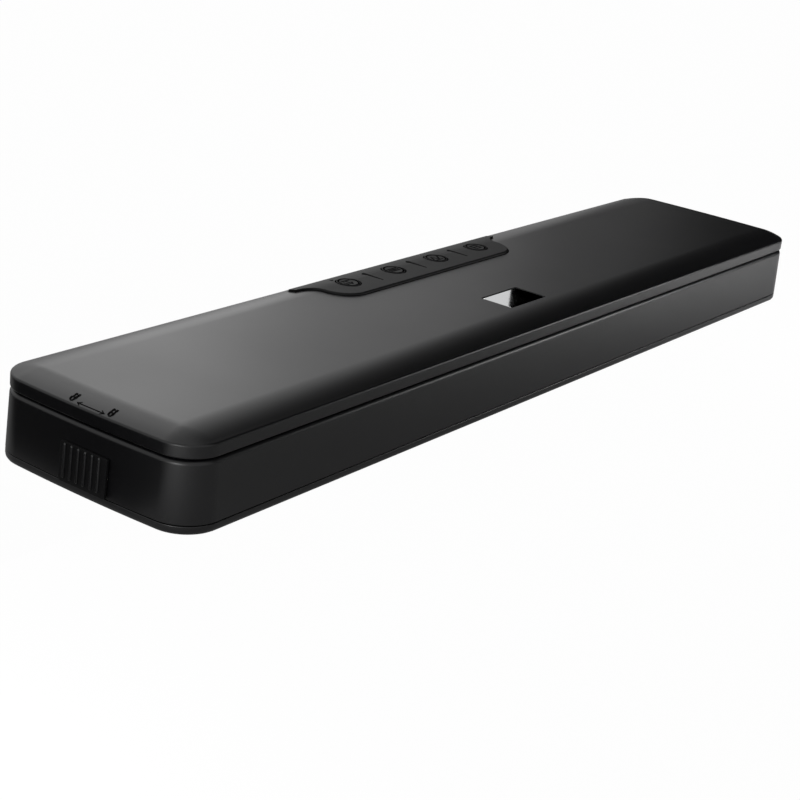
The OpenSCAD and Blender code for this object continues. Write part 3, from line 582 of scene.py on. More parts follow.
@dataclass(frozen=True)
class Woven(Finish):
    """Coated glass cloth: crossing threads show through the coating.

    wave_turn is how many radians the wave texture turns in a unit of its scale.
    """

    thread_mm: float = 0.377
    wave_turn: float = 20.0

    def height(self, tree: bpy.types.NodeTree, place: bpy.types.NodeSocket) -> bpy.types.NodeSocket:
        """Gives the weave: two crossed waves.

        Args:
            tree: the node tree.
            place: the socket of the object's own coordinates.

        Returns:
            The height's socket.
        """
        waves = []
        for way in ("X", "Y"):
            settings = {"Scale": scale(self.thread_mm) * math.tau / self.wave_turn, "bands_direction": way}
            waves.append(add(tree, "ShaderNodeTexWave", settings, Vector=place).outputs["Fac"])
        both = add(tree, "ShaderNodeMath", {"operation": "MULTIPLY"}, n0=waves[0], n1=waves[1])
        return both.outputs[0]


@dataclass(frozen=True)
class Foam(Finish):
    """Closed-cell foam: a skin of fine bubbles."""

    def height(self, tree: bpy.types.NodeTree, place: bpy.types.NodeSocket) -> bpy.types.NodeSocket:
        """Gives the cells."""
        cells = add(tree, "ShaderNodeTexVoronoi", {"Scale": scale(self.grain_mm)}, Vector=place)
        return cells.outputs["Distance"]


@dataclass(frozen=True)
class Drawn(Finish):
    """Drawn or rolled metal: fine lines along X."""

    line_mm: float = 0.15
    line_length_mm: float = 12.0

    def height(self, tree: bpy.types.NodeTree, place: bpy.types.NodeSocket) -> bpy.types.NodeSocket:
        """Gives the drawing lines: noise stretched along X.

        Args:
            tree: the node tree.
            place: the socket of the object's own coordinates.

        Returns:
            The height's socket.
        """
        fine = scale(self.line_mm)
        stretch = add(tree, "ShaderNodeMapping", {"Scale": (scale(self.line_length_mm), fine, fine)}, Vector=place)
        lines = add(tree, "ShaderNodeTexNoise", {"Scale": 1.0, "Detail": 2.0}, Vector=stretch.outputs[0])
        return lines.outputs[0]


@dataclass(frozen=True)
class SolderMask(Finish):
    """Circuit board: copper tracks stand under the solder mask as lighter lines."""

    track: str = "#2E7D4A"
    track_mm: float = 2.6
    track_from: float = 0.62

    def colours(self, tree: bpy.types.NodeTree, place: bpy.types.NodeSocket) -> bpy.types.NodeSocket:
        """Gives the mask's colour, with tracks along the edges of square cells.

        Args:
            tree: the node tree.
            place: the socket of the object's own coordinates.

        Returns:
            The colour's socket.
        """
        pattern = {"Scale": scale(self.track_mm), "distance": "MANHATTAN"}
        cells = add(tree, "ShaderNodeTexVoronoi", pattern, Vector=place)
        limit = {"operation": "GREATER_THAN", 1: self.track_from}
        edge = add(tree, "ShaderNodeMath", limit, n0=cells.outputs["Distance"])
        ends = {"data_type": "RGBA", COLOUR_A: linear(self.colour), COLOUR_B: linear(self.track)}
        return add(tree, "ShaderNodeMix", ends, n0=edge.outputs[0]).outputs[COLOUR_OUT]


# Moulded ABS from a spark-eroded mould: satin, with a soft broad highlight
SATIN_ABS = Finish(
    "satin_black_abs", "#08080A", 0.36, grain_mm=0.45, grain_depth_mm=0.0025, mottle=0.012, mottle_mm=40
)
# The control panel comes from a coarser mould than the shells, so it looks more matt
PANEL_ABS = Finish("panel_black_abs", "#0D0D0E", 0.55, ior=1.32, grain_mm=0.4, grain_depth_mm=0.003, mottle=0.015)
# The slider's plate is a darker black than the shells: painted shade, for the shadow it sits in behind the bright
# ribs; its coarser erosion and low gloss keep highlights off its edges
SHADED_PLATE_ABS = Finish(
    "slider_plate_painted_shade", "#040405", 0.62, grain_mm=0.4, grain_depth_mm=0.003, mottle=0.01,
    settings=(("Specular IOR Level", 0.2),),
)
# Inner frames keep the plain mould texture: dark grey and even
PLAIN_ABS = Finish("plain_black_abs", "#222224", 0.5, grain_mm=0.5, grain_depth_mm=0.005)
# Pad-printed ink: matt and darker than any moulding, so it reads as a dark mark on the satin shell
INK = Finish(
    "black_ink", "#020202", 0.8, grain_mm=0.3, grain_depth_mm=0.001, settings=(("Specular IOR Level", 0.05),)
)
# Acrylic window with a half-mirror coat on its back: it shows the surroundings, a little dimmed
MIRROR_ACRYLIC = Finish(
    "half_mirror_acrylic", "#E6E7E8", 0.03, metallic=1.0, grain_mm=6.0, grain_depth_mm=0.0004, mottle=0.01, tint=0.01
)
# Smoked acrylic light guide, polished: nearly black, with a sharp highlight
LIGHT_GUIDE = Finish("smoked_light_guide", "#08090C", 0.12, grain_depth_mm=0.001, settings=(("Coat Weight", 0.6),))
# Natural rubber compound, matt from the mould: black without a highlight
FOOT_RUBBER = Finish("foot_rubber", "#161616", 0.8, grain_mm=0.7, grain_depth_mm=0.02)
# Closed-cell neoprene foam, cut: dark grey with fine bubbles
NEOPRENE = Foam("neoprene_foam", "#3A3A3C", 0.85, grain_mm=0.45, grain_depth_mm=0.06)
# Solid silicone, extruded: brick red and slightly waxy
SILICONE = Finish("red_silicone", "#A83B2C", 0.55, ior=1.41, grain_mm=0.8, grain_depth_mm=0.01)
# Phenolic sheet, pressed: brown resin mottled by the paper in it
PHENOLIC = Finish("brown_phenolic", "#5A2E20", 0.5, grain_mm=0.9, grain_depth_mm=0.008, tint=0.15, mottle_mm=6)
# Nickel-chromium ribbon, rolled: warm grey metal with lines along it
NICHROME = Drawn("nichrome_ribbon", "#B7B1A6", 0.35, metallic=1.0, grain_depth_mm=0.002)
# Glass cloth with a fluoropolymer coat: tan, with its threads showing
COATED_CLOTH = Woven("coated_glass_cloth", "#A47C4C", 0.45, grain_depth_mm=0.03, settings=(("Sheen Weight", 0.2),))
# Brass, rolled and stamped: yellow metal with faint lines
BRASS = Drawn("stamped_brass", "#C9A24D", 0.3, metallic=1.0, grain_depth_mm=0.003)
# Steel with clear zinc plate: cool grey metal, fairly bright
ZINC_STEEL = Drawn("zinc_plated_steel", "#B9BBBE", 0.32, metallic=1.0, grain_depth_mm=0.003)
# Nickel plate over drawn steel: warmer and brighter than zinc
NICKEL = Drawn("nickel_plated_can", "#C4C3BE", 0.22, metallic=1.0, grain_depth_mm=0.002)
# Glass-filled nylon, moulded: blue-black and rather matt
NYLON = Finish("glass_filled_nylon", "#26272B", 0.55, grain_mm=0.35, grain_depth_mm=0.008)
# Natural acetal, moulded: off-white with a slippery look
ACETAL = Finish("natural_acetal", "#DDD8CB", 0.38, ior=1.48, grain_depth_mm=0.003, tint=0.02)
# Silicone tube, extruded: milky, and light comes through it a little
TUBE = Finish("silicone_tube", "#DAD6CB", 0.4, ior=1.41, settings=(("Transmission Weight", 0.25),))
# Epoxy solder mask, cured: glossy dark green over lighter tracks
MASK = SolderMask("green_solder_mask", "#12512B", 0.28)
# Polyester tape, wound over the transformer's copper: glossy yellow
WINDING = Finish("winding_tape", "#D2A62B", 0.4, grain_mm=1.2, grain_depth_mm=0.02)
# Shrink sleeve over the capacitors' cans: smooth dark blue
SLEEVE = Finish("capacitor_sleeve", "#1E2C4C", 0.3, grain_depth_mm=0.002)
# Moulded polyester case: plain mid blue
RELAY_BLUE = Finish("relay_case", "#2C62A4", 0.35, grain_depth_mm=0.003)
# Drawn glass tube: clear, with sharp highlights
GLASS_TUBE = Finish(
    "glass_tube", "#DCE4E4", 0.05, grain_depth_mm=0.0005, settings=(("Transmission Weight", 0.85),)
)


# ---- Sub-assemblies


@dataclass
class BaseShell:
    """The housing between the bottom cover and the lid, with its deck, trough and slots.

    trough, bar and keeper_slot are lengths, widths and depths, and pad is a length and a depth.
    slider_slot is its two ends along Y and then Z, inlet along X and then Z, and nozzle is a place along
    X, a height and a radius. under_deck is how far joined-on walls stop below the deck's face, in_wall
    how far the pad reaches into the front wall, and hair half the straight stretch at the trough's ends.
    """

    wall: float = 2.0
    deck: float = 1.8
    under_deck: float = 0.4
    in_wall: float = 0.5
    rim_radius: float = 1.4
    foot_round: float = 0.3
    edge: float = 0.25
    trough: tuple[float, float, float] = (276, 15, 7.5)
    trough_y: float = -17.25
    trough_wall: float = 1.5
    hair: float = 0.01
    gasket: float = 3.6
    lip: float = 0.5
    groove: float = 1.6
    bar: tuple[float, float, float] = (306, 5, 2.0)
    bar_y: float = -32.25
    pad: tuple[float, float] = (308, 3.6)
    pad_rear: float = -4.65
    hook_x: float = 162.0
    keeper_slot: tuple[float, float, float] = (7.0, 6.6, 4.0)
    keeper_slot_y: float = -2.35
    keeper_corner: float = 0.8
    slider_slot: tuple[float, float, float, float] = (-9.6, 7.0, 6.4, 12.0)
    inlet: tuple[float, float, float, float] = (135, 155, 4.8, 17.2)
    nozzle: tuple[float, float, float] = (91.5, 17.6, 1.65)

    def skin_rings(self) -> list[Ring]:
        """Gives the skin from the deck's edge, over the rim, down and back up inside.

        Returns:
            Its rings in order.
        """
        top, low, r = PLAN.rim_z, PLAN.seam_z, self.rim_radius
        rings = []
        for a in sweep(QUARTER, 0, 6):
            z = top - r + r * math.sin(a)
            rings.append(PLAN.ring(z, r * (1 - math.cos(a)) - PLAN.lean * (top - z)))
        out = PLAN.lean * (top - low)
        for a in sweep(0, QUARTER, 4):
            inset = self.foot_round * (1 - math.cos(a)) - out
            rings.append(PLAN.ring(low + self.foot_round * (1 - math.sin(a)), inset))
        return rings + [PLAN.ring(low, self.wall), PLAN.ring(top - self.deck, self.wall)]

    def stadium(self, grow: float) -> Ring:
        """Gives the trough's outline, grown by some millimetres."""
        size = (self.trough[0] + 2 * grow, self.trough[1] + 2 * grow)
        return PLAN.spread(rounded_rectangle((0, self.trough_y), size, size[1] / 2 - self.hair, 12))

    def block(self, x: Point, y: Point, z: Point, corner: float = 0.4) -> bpy.types.Object:
        """Makes an upright block between two ends each way, with rounded corners in plan."""
        outline = rounded_rectangle((sum(x) / 2, sum(y) / 2), (x[1] - x[0], y[1] - y[0]), corner)
        return prism("tool", PLAN.spread(outline), *z)

    def join_walls(self, shell: bpy.types.Object) -> None:
        """Joins on the pad under the bag, the trough's tub and the hinge's ears.

        Args:
            shell: the housing.
        """
        top = PLAN.rim_z
        front = -PLAN.half_depth + self.wall - self.in_wall
        half = self.pad[0] / 2
        pad = self.block((-half, half), (front, self.pad_rear), (top - self.pad[1], top - self.under_deck))
        combine(shell, pad, Change.JOIN)
        floor = top - self.trough[2] - self.trough_wall
        combine(shell, prism("tool", self.stadium(self.trough_wall), floor, top - self.under_deck), Change.JOIN)
        HINGE.join(shell, HINGE.ears, HINGE.ear_foot)

    def cut_deck(self, shell: bpy.types.Object) -> None:
        """Cuts the trough, the gasket's groove, the heater bar's bed and the keepers' slots.

        Args:
            shell: the housing.
        """
        top = PLAN.rim_z
        over = top + PAST
        combine(shell, prism("tool", self.stadium(0), top - self.trough[2], over), Change.CUT)
        groove = prism("tool", self.stadium(self.lip + self.gasket), top - self.groove, over)
        core = prism("core", self.stadium(self.lip), top - self.groove - PAST, over + PAST)
        combine(shell, combine(groove, core, Change.CUT), Change.CUT)
        length, width, depth = self.bar
        bed = ((-length / 2, length / 2), (self.bar_y - width / 2, self.bar_y + width / 2), (top - depth, over))
        combine(shell, self.block(*bed), Change.CUT)
        length, width, depth = self.keeper_slot
        y = (self.keeper_slot_y - width / 2, self.keeper_slot_y + width / 2)
        for x in (-self.hook_x, self.hook_x):
            slot = self.block((x - length / 2, x + length / 2), y, (top - depth, over), self.keeper_corner)
            combine(shell, slot, Change.CUT)

    def cut_walls(self, shell: bpy.types.Object) -> None:
        """Cuts the slider's slot, the mains inlet's window and the nozzle's hole.

        Args:
            shell: the housing.
        """
        left, rear = -PLAN.end_x, PLAN.half_depth
        y0, y1, z0, z1 = self.slider_slot
        through = (left - 2 * PAST, left + self.wall + PAST)
        combine(shell, self.block(through, (y0, y1), (z0, z1)), Change.CUT)
        x0, x1, z0, z1 = self.inlet
        through = (rear - self.wall - PAST, rear + 2 * PAST)
        combine(shell, self.block((x0, x1), through, (z0, z1)), Change.CUT)
        x, z, r = self.nozzle
        tub_rear = PLAN.place(x, self.trough_y + self.trough[1] / 2, z)
        turn = Matrix.Translation(tub_rear) @ Matrix.Rotation(-QUARTER, 4, "X")
        combine(shell, rod(r, -2 * PAST, self.trough_wall + 2 * PAST, 32, turn), Change.CUT)

    def build(self) -> bpy.types.Object:
        """Builds the housing.

        Returns:
            The housing.
        """
        shell = loft("base_shell", self.skin_rings())
        self.join_walls(shell)
        self.cut_deck(shell)
        self.cut_walls(shell)
        soften(shell, self.edge)
        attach(shell, "base")
        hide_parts("base_housing")
        SATIN_ABS.dress(shell)
        return shell


@dataclass
class BottomCover:
    """The pan under the housing: a band with a rounded foot, foot seats, screw wells and vents.

    The foot's round starts after a narrow flat, is squashed in height and runs on into a short land.
    foot and screws are places in one quarter of the plan, which the other three repeat. foot_seat and
    screw_well are a radius and a depth, and vent is a width and a length.
    """

    low_z: float = 1.5
    chamfer: float = 1.45
    flat: float = 0.1
    squash: float = 0.9
    land: float = 0.2
    seam: float = 0.2
    edge: float = 0.25
    edge_drop: float = 0.3
    softness: float = 0.2
    floor: float = 1.8
    wall: float = 2.0
    foot: Point = (150, 25.35)
    foot_seat: tuple[float, float] = (6.15, 0.8)
    screws: tuple[Point, ...] = ((169, 28.35), (40, 31.75))
    screw_well: tuple[float, float] = (2.6, 1.0)
    vent: tuple[float, float] = (1.5, 16)
    vent_corner: float = 0.74
    vent_x: float = 91.5
    vent_in: float = 22
    vent_pitch: float = 4.0
    vents: int = 9

    def skin_rings(self) -> list[Ring]:
        """Gives the skin from the underside, out round the foot, up to the seam and back inside.

        Returns:
            Its rings in order.
        """
        out = PLAN.lean * (PLAN.rim_z - PLAN.seam_z)
        high = PLAN.seam_z - self.seam
        rings = [PLAN.ring(self.low_z, self.chamfer - out + self.flat)]
        for a in sweep(0, QUARTER, 4)[1:]:
            up = self.chamfer * (1 - math.cos(a)) * self.squash + self.flat * a / QUARTER
            rings.append(PLAN.ring(self.low_z + up, self.chamfer * (1 - math.sin(a)) - out))
        drop = self.edge * self.edge_drop
        for z, inset in (
            (self.low_z + self.chamfer + self.land, 0),
            (high - self.edge, 0),
            (high - drop, drop),
            (high, self.edge),
        ):
            rings.append(PLAN.ring(z, inset - out))
        return rings + [PLAN.ring(high, self.wall), PLAN.ring(self.low_z + self.floor, self.wall)]

    def well(self, place: Point, radius: float, depth: float) -> bpy.types.Object:
        """Makes a round tool that reaches some depth into the underside."""
        return rod(radius, -PAST, self.low_z + depth, 40, PLAN.stand(*place))

    def build(self) -> bpy.types.Object:
        """Builds the cover.

        Returns:
            The cover.
        """
        cover = loft("bottom_pan", self.skin_rings())
        wells = [(self.foot, *self.foot_seat), *((screw, *self.screw_well) for screw in self.screws)]
        for sx, sy in ((-1, -1), (-1, 1), (1, -1), (1, 1)):
            for (x, y), radius, depth in wells:
                combine(cover, self.well((sx * x, sy * y), radius, depth), Change.CUT)
        for i in range(self.vents):
            x = self.vent_x + (i - (self.vents - 1) / 2) * self.vent_pitch
            slot = rounded_rectangle((x, self.vent_in - PLAN.half_depth), self.vent, self.vent_corner)
            ends = (self.low_z - PAST, self.low_z + self.floor + PAST)
            combine(cover, prism("tool", PLAN.spread(slot), *ends), Change.CUT)
        soften(cover, self.softness)
        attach(cover, "base")
        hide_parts("bottom_cover")
        SATIN_ABS.dress(cover)
        return cover


@dataclass
class Window:
    """The viewing window over the trough. chamfer is how far its edge slopes in and down."""

    length: float = 21.5
    width: float = 12.6
    y: float = -17.25
    corner: float = 0.5
    gap: float = 0.1
    thickness: float = 1.7
    chamfer: Point = (0.6, 0.4)
    shading: float = 10

    def outline(self, inset: float, z: float = 0) -> Ring:
        """Gives the opening's outline, brought in by some millimetres, at a height."""
        size = (self.length - 2 * inset, self.width - 2 * inset)
        return PLAN.spread(rounded_rectangle((0, self.y), size, self.corner), z)

    def build(self, ceiling: float) -> bpy.types.Object:
        """Builds the pane with its chamfered edge.

        Args:
            ceiling: height of the pane's underside.

        Returns:
            The pane.
        """
        edge, drop = self.chamfer
        high = ceiling + self.thickness
        levels = ((0, ceiling), (0, high - drop), (edge, high))
        lens = shade(loft("window_pane", [self.outline(self.gap + inset, z) for inset, z in levels]), self.shading)
        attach(lens, "lid")
        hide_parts("window_lens")
        MIRROR_ACRYLIC.dress(lens)
        return lens


@dataclass
class Lid:
    """The lid's cover: upright skirt, domed top, cut-outs for panel and window, and knuckles.

    The dome runs from the crease at the edge to the flat top over run_x at the ends and run_y at the
    sides, and its curve stops short of the crease to leave room for the crease's rounding.
    """

    skirt_z: float = 23.0
    crease_z: float = 27.0
    rise: float = 2.3
    run_x: float = 9.0
    run_y: float = 12.5
    short: float = 0.5
    crease: float = 0.3
    crease_radius: float = 0.8
    low_edge: float = 0.5
    edge: float = 0.12
    edge_from: float = 32
    wall: float = 1.8
    top_thickness: float = 1.8
    ceiling_inset: float = 10.0
    ledge: float = 1.0
    steps: int = 14

    @property
    def top_z(self) -> float:
        """Height of the flat top."""
        return self.crease_z + self.rise

    @property
    def ceiling(self) -> float:
        """Height of the hollow under the flat top."""
        return self.top_z - self.top_thickness

    def crown_z(self, t: float) -> float:
        """Height of the dome at a share of its run, from the crease to the flat top."""
        return self.crease_z + self.rise * (1 - (1 - t) ** 2)

    def height_at(self, x: float, y: float) -> float:
        """Gives the height of the lid's top near an end.

        Args:
            x: place along the body's plan.
            y: place across it.

        Returns:
            The height in millimetres.
        """
        reach = PLAN.end_x - PLAN.bow_radius + math.sqrt(PLAN.bow_radius**2 - y**2) - abs(x)
        t = (reach - self.crease) / (self.run_x - self.crease)
        return self.crown_z(min(max(t, 0), 1))

    def skin_rings(self, lift: float = 0) -> list[Ring]:
        """Gives the skin from the flat top out to the crease and down the skirt.

        Args:
            lift: raises the whole skin, for the control panel's top.

        Returns:
            Its rings in order.
        """
        rings = []
        first = self.short / self.run_y
        for t in sweep(1, first, self.steps):
            in_x, in_y = (self.crease + (run - self.crease) * t for run in (self.run_x, self.run_y))
            rings.append(PLAN.ring(self.crown_z(t) + lift, in_x, in_y))
        r = self.crease_radius
        start = self.crease + (self.run_y - self.crease) * first
        full = math.acos(max(1 - start / r, 0))
        for a in sweep(full, 0, 5)[1:]:
            z = self.crown_z(first) - r * (math.sin(full) - math.sin(a))
            rings.append(PLAN.ring(z + lift, r * (1 - math.cos(a))))
        for a in sweep(0, QUARTER, 5):
            z = self.skirt_z + self.low_edge * (1 - math.sin(a))
            rings.append(PLAN.ring(z + lift, self.low_edge * (1 - math.cos(a))))
        return rings

    def build(self) -> bpy.types.Object:
        """Builds the lid's cover.

        Returns:
            The cover.
        """
        inner = self.crease_z - self.ledge
        rings = self.skin_rings()
        for z, inset in (
            (self.skirt_z, self.wall),
            (inner, self.wall),
            (inner, self.ceiling_inset),
            (self.ceiling, self.ceiling_inset),
        ):
            rings.append(PLAN.ring(z, inset))
        shell = loft("lid_shell", rings)
        HINGE.join(shell, HINGE.knuckles, HINGE.knuckle_foot)
        over = self.top_z + PAST
        combine(shell, prism("tool", WINDOW.outline(0), self.ceiling - PAST, over), Change.CUT)
        combine(shell, prism("tool", PLAN.spread(PANEL.outline(PANEL.gap)), inner - PAST, over), Change.CUT)
        soften(shell, self.edge, self.edge_from)
        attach(shell, "lid")
        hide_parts("lid_cover")
        SATIN_ABS.dress(shell)
        return shell


@dataclass
class Panel:
    """The raised control panel with its dividing grooves, wide at the rear.

    wide_depth is the depth of the wide part before the flares start, and blank_over how far the blank
    stands over the face that trims it. led is the lens's place in the plan and its hole's radius.
    groove_sides are the points of a groove's side from above the face to its floor: how far in each
    lies, and its share of the depth. line_z is where the ink in a groove lies, from the face.
    """

    half: float = 51.5
    corner: float = 10.0
    flare: float = 7.0
    lift: float = 0.8
    front: float = 14.5
    rear: float = 33.55
    wide_depth: float = 3.0
    gap: float = 0.45
    skin: float = 1.8
    blank_over: float = 0.02
    pitch: float = 25.3
    button_y: float = 24.7
    hole: float = 4.6
    rounding: float = 0.75
    edge: float = 0.1
    edge_from: float = 50
    divider_width: float = 1.6
    divider_length: float = 9.2
    divider_depth: float = 0.3
    divider_tip: float = 0.8
    divider_y: float = 24.1
    groove_sides: tuple[Point, ...] = ((-0.15, -0.5), (-0.05, 0.0), (0.0, 0.1), (0.05, 0.75), (0.15, 1.0))
    line_inset: float = 0.04
    line_z: Point = (-0.29, -0.03)
    led: tuple[float, float, float] = (-40.1, 30.2, 0.75)

    def button_x(self, i: int) -> float:
        """Gives where button number i stands along the panel."""
        return (i - 1.5) * self.pitch

    def outline(self, grow: float) -> list[Point]:
        """Gives the panel's outline: corner arcs that run into hollow flares.

        Args:
            grow: how far the outline is grown, or brought in where it is negative.

        Returns:
            Points in order round the outline.
        """
        x, y = self.half - self.corner, self.front + self.corner
        flare_y = self.rear - self.wide_depth - self.flare
        turn = math.asin((y - flare_y) / (self.corner + self.flare))
        wide = x + (self.corner + self.flare) * math.cos(turn)
        hollow, r = self.flare - grow, self.corner + grow
        first = math.acos(min(grow, 0) / hollow)
        right = [(wide + grow, self.rear + grow)]
        if grow > 0:
            right.append((wide + grow, flare_y + hollow))
        for a in sweep(first, math.pi - turn, 14):
            right.append((wide + hollow * math.cos(a), flare_y + hollow * math.sin(a)))
        for a in sweep(-turn, -QUARTER, 16)[1:]:
            right.append((x + r * math.cos(a), y + r * math.sin(a)))
        return right + [(-x, y) for x, y in reversed(right)]

    def drop(self, i: int, inset: float) -> list[Point]:
        """Gives divider number i's outline: wide and round at the rear, narrow at the front.

        Args:
            i: -1, 0 or 1, from left to right.
            inset: how far the outline is brought in.

        Returns:
            Points in order round the outline.
        """
        width, length, tip = self.divider_width, self.divider_length, self.divider_tip
        points = []
        for radius, y, first in ((width / 2, (length - width) / 2, 0), (tip / 2, (tip - length) / 2, math.pi)):
            reach = radius - inset
            for a in sweep(first, first + math.pi, 8):
                points.append((i * self.pitch + reach * math.cos(a), self.divider_y + y + reach * math.sin(a)))
        return points

    def divide(self, panel: bpy.types.Object, top: float) -> None:
        """Cuts the dividing grooves and lays a line of ink in each.

        Args:
            panel: the panel's cover.
            top: height of its face.
        """
        for i in (-1, 0, 1):
            sides = ((self.drop(i, inset), top - self.divider_depth * share) for inset, share in self.groove_sides)
            combine(panel, loft("tool", [PLAN.spread(points, z) for points, z in sides]), Change.CUT)
            low, high = (top + z for z in self.line_z)
            ink = prism(f"divider_line_{i + 2}", PLAN.spread(self.drop(i, self.line_inset)), low, high)
            INK.dress(ink)
            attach(ink, "lid")

    def build(self, lid: Lid) -> bpy.types.Object:
        """Builds the panel's cover: a blank with a rounded edge, trimmed to the dome.

        Args:
            lid: the lid that it is set in.

        Returns:
            The cover.
        """
        top = lid.top_z + self.lift
        under = top - self.skin
        rings = [PLAN.spread(self.outline(0), under)]
        for a in sweep(0, QUARTER, 6):
            inset = self.rounding * (1 - math.cos(a))
            z = top + self.blank_over - self.rounding * (1 - math.sin(a))
            rings.append(PLAN.spread(self.outline(-inset), z))
        panel = loft("control_panel", rings)
        combine(panel, loft("tool", lid.skin_rings(self.lift)), Change.KEEP_SHARED)
        holes = [(self.button_x(i), self.button_y, self.hole, 64) for i in range(4)]
        for x, y, radius, steps in (*holes, (*self.led, 24)):
            combine(panel, rod(radius, under - PAST, top + PAST, steps, PLAN.stand(x, y)), Change.CUT)
        soften(panel, self.edge, self.edge_from)
        bake(panel)
        self.divide(panel, top)
        shade(panel)
        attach(panel, "lid")
        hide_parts("panel_cover")
        PANEL_ABS.dress(panel)
        return panel


WINDOW = Window()
PANEL = Panel()


class Sign(Enum):
    """The generic signs on the four buttons, as strokes of points in a unit circle."""

    PUMP_AND_SEAL = (
        ((-0.6, 0.45), (0.6, 0.45)),
        ((0, 0.3), (0, -0.55)),
        ((-0.35, -0.15), (0, -0.55), (0.35, -0.15)),
        ((-0.6, -0.6), (-0.6, 0.1)),
    )
    SEAL = (((-0.7, 0.3), (0.7, 0.3)), ((-0.7, 0), (0.7, 0)), ((-0.7, -0.3), (0.7, -0.3)))
    MODE = (((-0.7, -0.25), (-0.3, 0.4), (0.1, -0.4), (0.65, 0.35)), ((-0.5, -0.55), (0.5, -0.55)))
    STOP = (
        ((-0.45, -0.45), (0.45, -0.45), (0.45, 0.45), (-0.45, 0.45), (-0.45, -0.45)),
        ((-0.2, 0), (0.2, 0)),
    )


def ribbon(name: str, strokes: list[list[Vector]], width: float) -> bpy.types.Object:
    """Makes printed lines as thin flat-lying strips of ink.

    Args:
        name: the piece's name.
        strokes: lists of points in metres, on the surface.
        width: the lines' width in millimetres.

    Returns:
        One object that holds all the strips.
    """
    points, faces = [], []
    up = Vector((0, 0, INK_MM * MM))
    half = width * MM / 2
    for stroke in strokes:
        for a, b in zip(stroke, stroke[1:]):
            along = (b - a).normalized() * half
            side = Vector((-along.y, along.x, 0)).normalized() * half
            first = len(points)
            points += [a - along - side, b + along - side, b + along + side, a - along + side]
            points += [p + up for p in points[first : first + 4]]
            for face in ((3, 2, 1, 0), (4, 5, 6, 7), (0, 1, 5, 4), (1, 2, 6, 5), (2, 3, 7, 6), (3, 0, 4, 7)):
                faces.append([first + i for i in face])
    mesh = bpy.data.meshes.new(name)
    mesh.from_pydata([tuple(p) for p in points], [], faces)
    piece = link(name, mesh)
    INK.dress(piece)
    return piece


@dataclass
class Buttons:
    """Four round push buttons, each with a shallow dish, a printed sign and a ring round it."""

    radius: float = 4.1
    flange: float = 0.8
    flange_height: float = 0.5
    top: float = 30.2
    low: float = 27.5
    edge: float = 0.18
    dish: float = 0.12
    sign: float = 3.4
    ring: float = 3.5
    line: float = 0.65
    shading: float = 50
    names: tuple[str, ...] = ("left_button", "mid_left_button", "mid_right_button", "right_button")

    def profile(self) -> list[Point]:
        """Gives the cap's profile from the foot's centre to the dish's centre.

        Returns:
            Points of radius and height.
        """
        r, top, foot = self.radius, self.top, self.low + self.flange_height
        points = [(0, self.low), (r + self.flange, self.low), (r + self.flange, foot), (r, foot)]
        for a in sweep(0, QUARTER, 5):
            points.append((r - self.edge * (1 - math.cos(a)), top - self.edge * (1 - math.sin(a))))
        for t in sweep(1, 0, 6)[1:]:
            points.append(((r - self.edge) * t, top - self.dish * (1 - t**2)))
        return points

    def on_dish(self, x: float, dx: float, dy: float) -> Vector:
        """Places a point of a sign on the dish of the button at x."""
        share = math.hypot(dx, dy) / (self.radius - self.edge)
        return PLAN.place(x + dx, PANEL.button_y + dy, self.top - self.dish * (1 - share**2))

    def build(self) -> list[bpy.types.Object]:
        """Builds the buttons with their signs.

        Returns:
            The four caps.
        """
        made = []
        for i, (name, sign) in enumerate(zip(self.names, Sign)):
            x = PANEL.button_x(i)
            placing = PLAN.stand(x, PANEL.button_y)
            cap = shade(lathe(name.replace("button", "cap"), self.profile(), 64, placing), self.shading)
            flat = [[(self.sign * px, self.sign * py) for px, py in stroke] for stroke in sign.value]
            flat.append([(self.ring * math.cos(a), self.ring * math.sin(a)) for a in sweep(0, math.tau, 48)])
            strokes = [[self.on_dish(x, dx, dy) for dx, dy in stroke] for stroke in flat]
            printed = ribbon(name.replace("button", "sign"), strokes, self.line)
            for piece in (cap, printed):
                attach(piece, name)
            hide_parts(name)
            PANEL_ABS.dress(cap)
            made.append(cap)
        return made


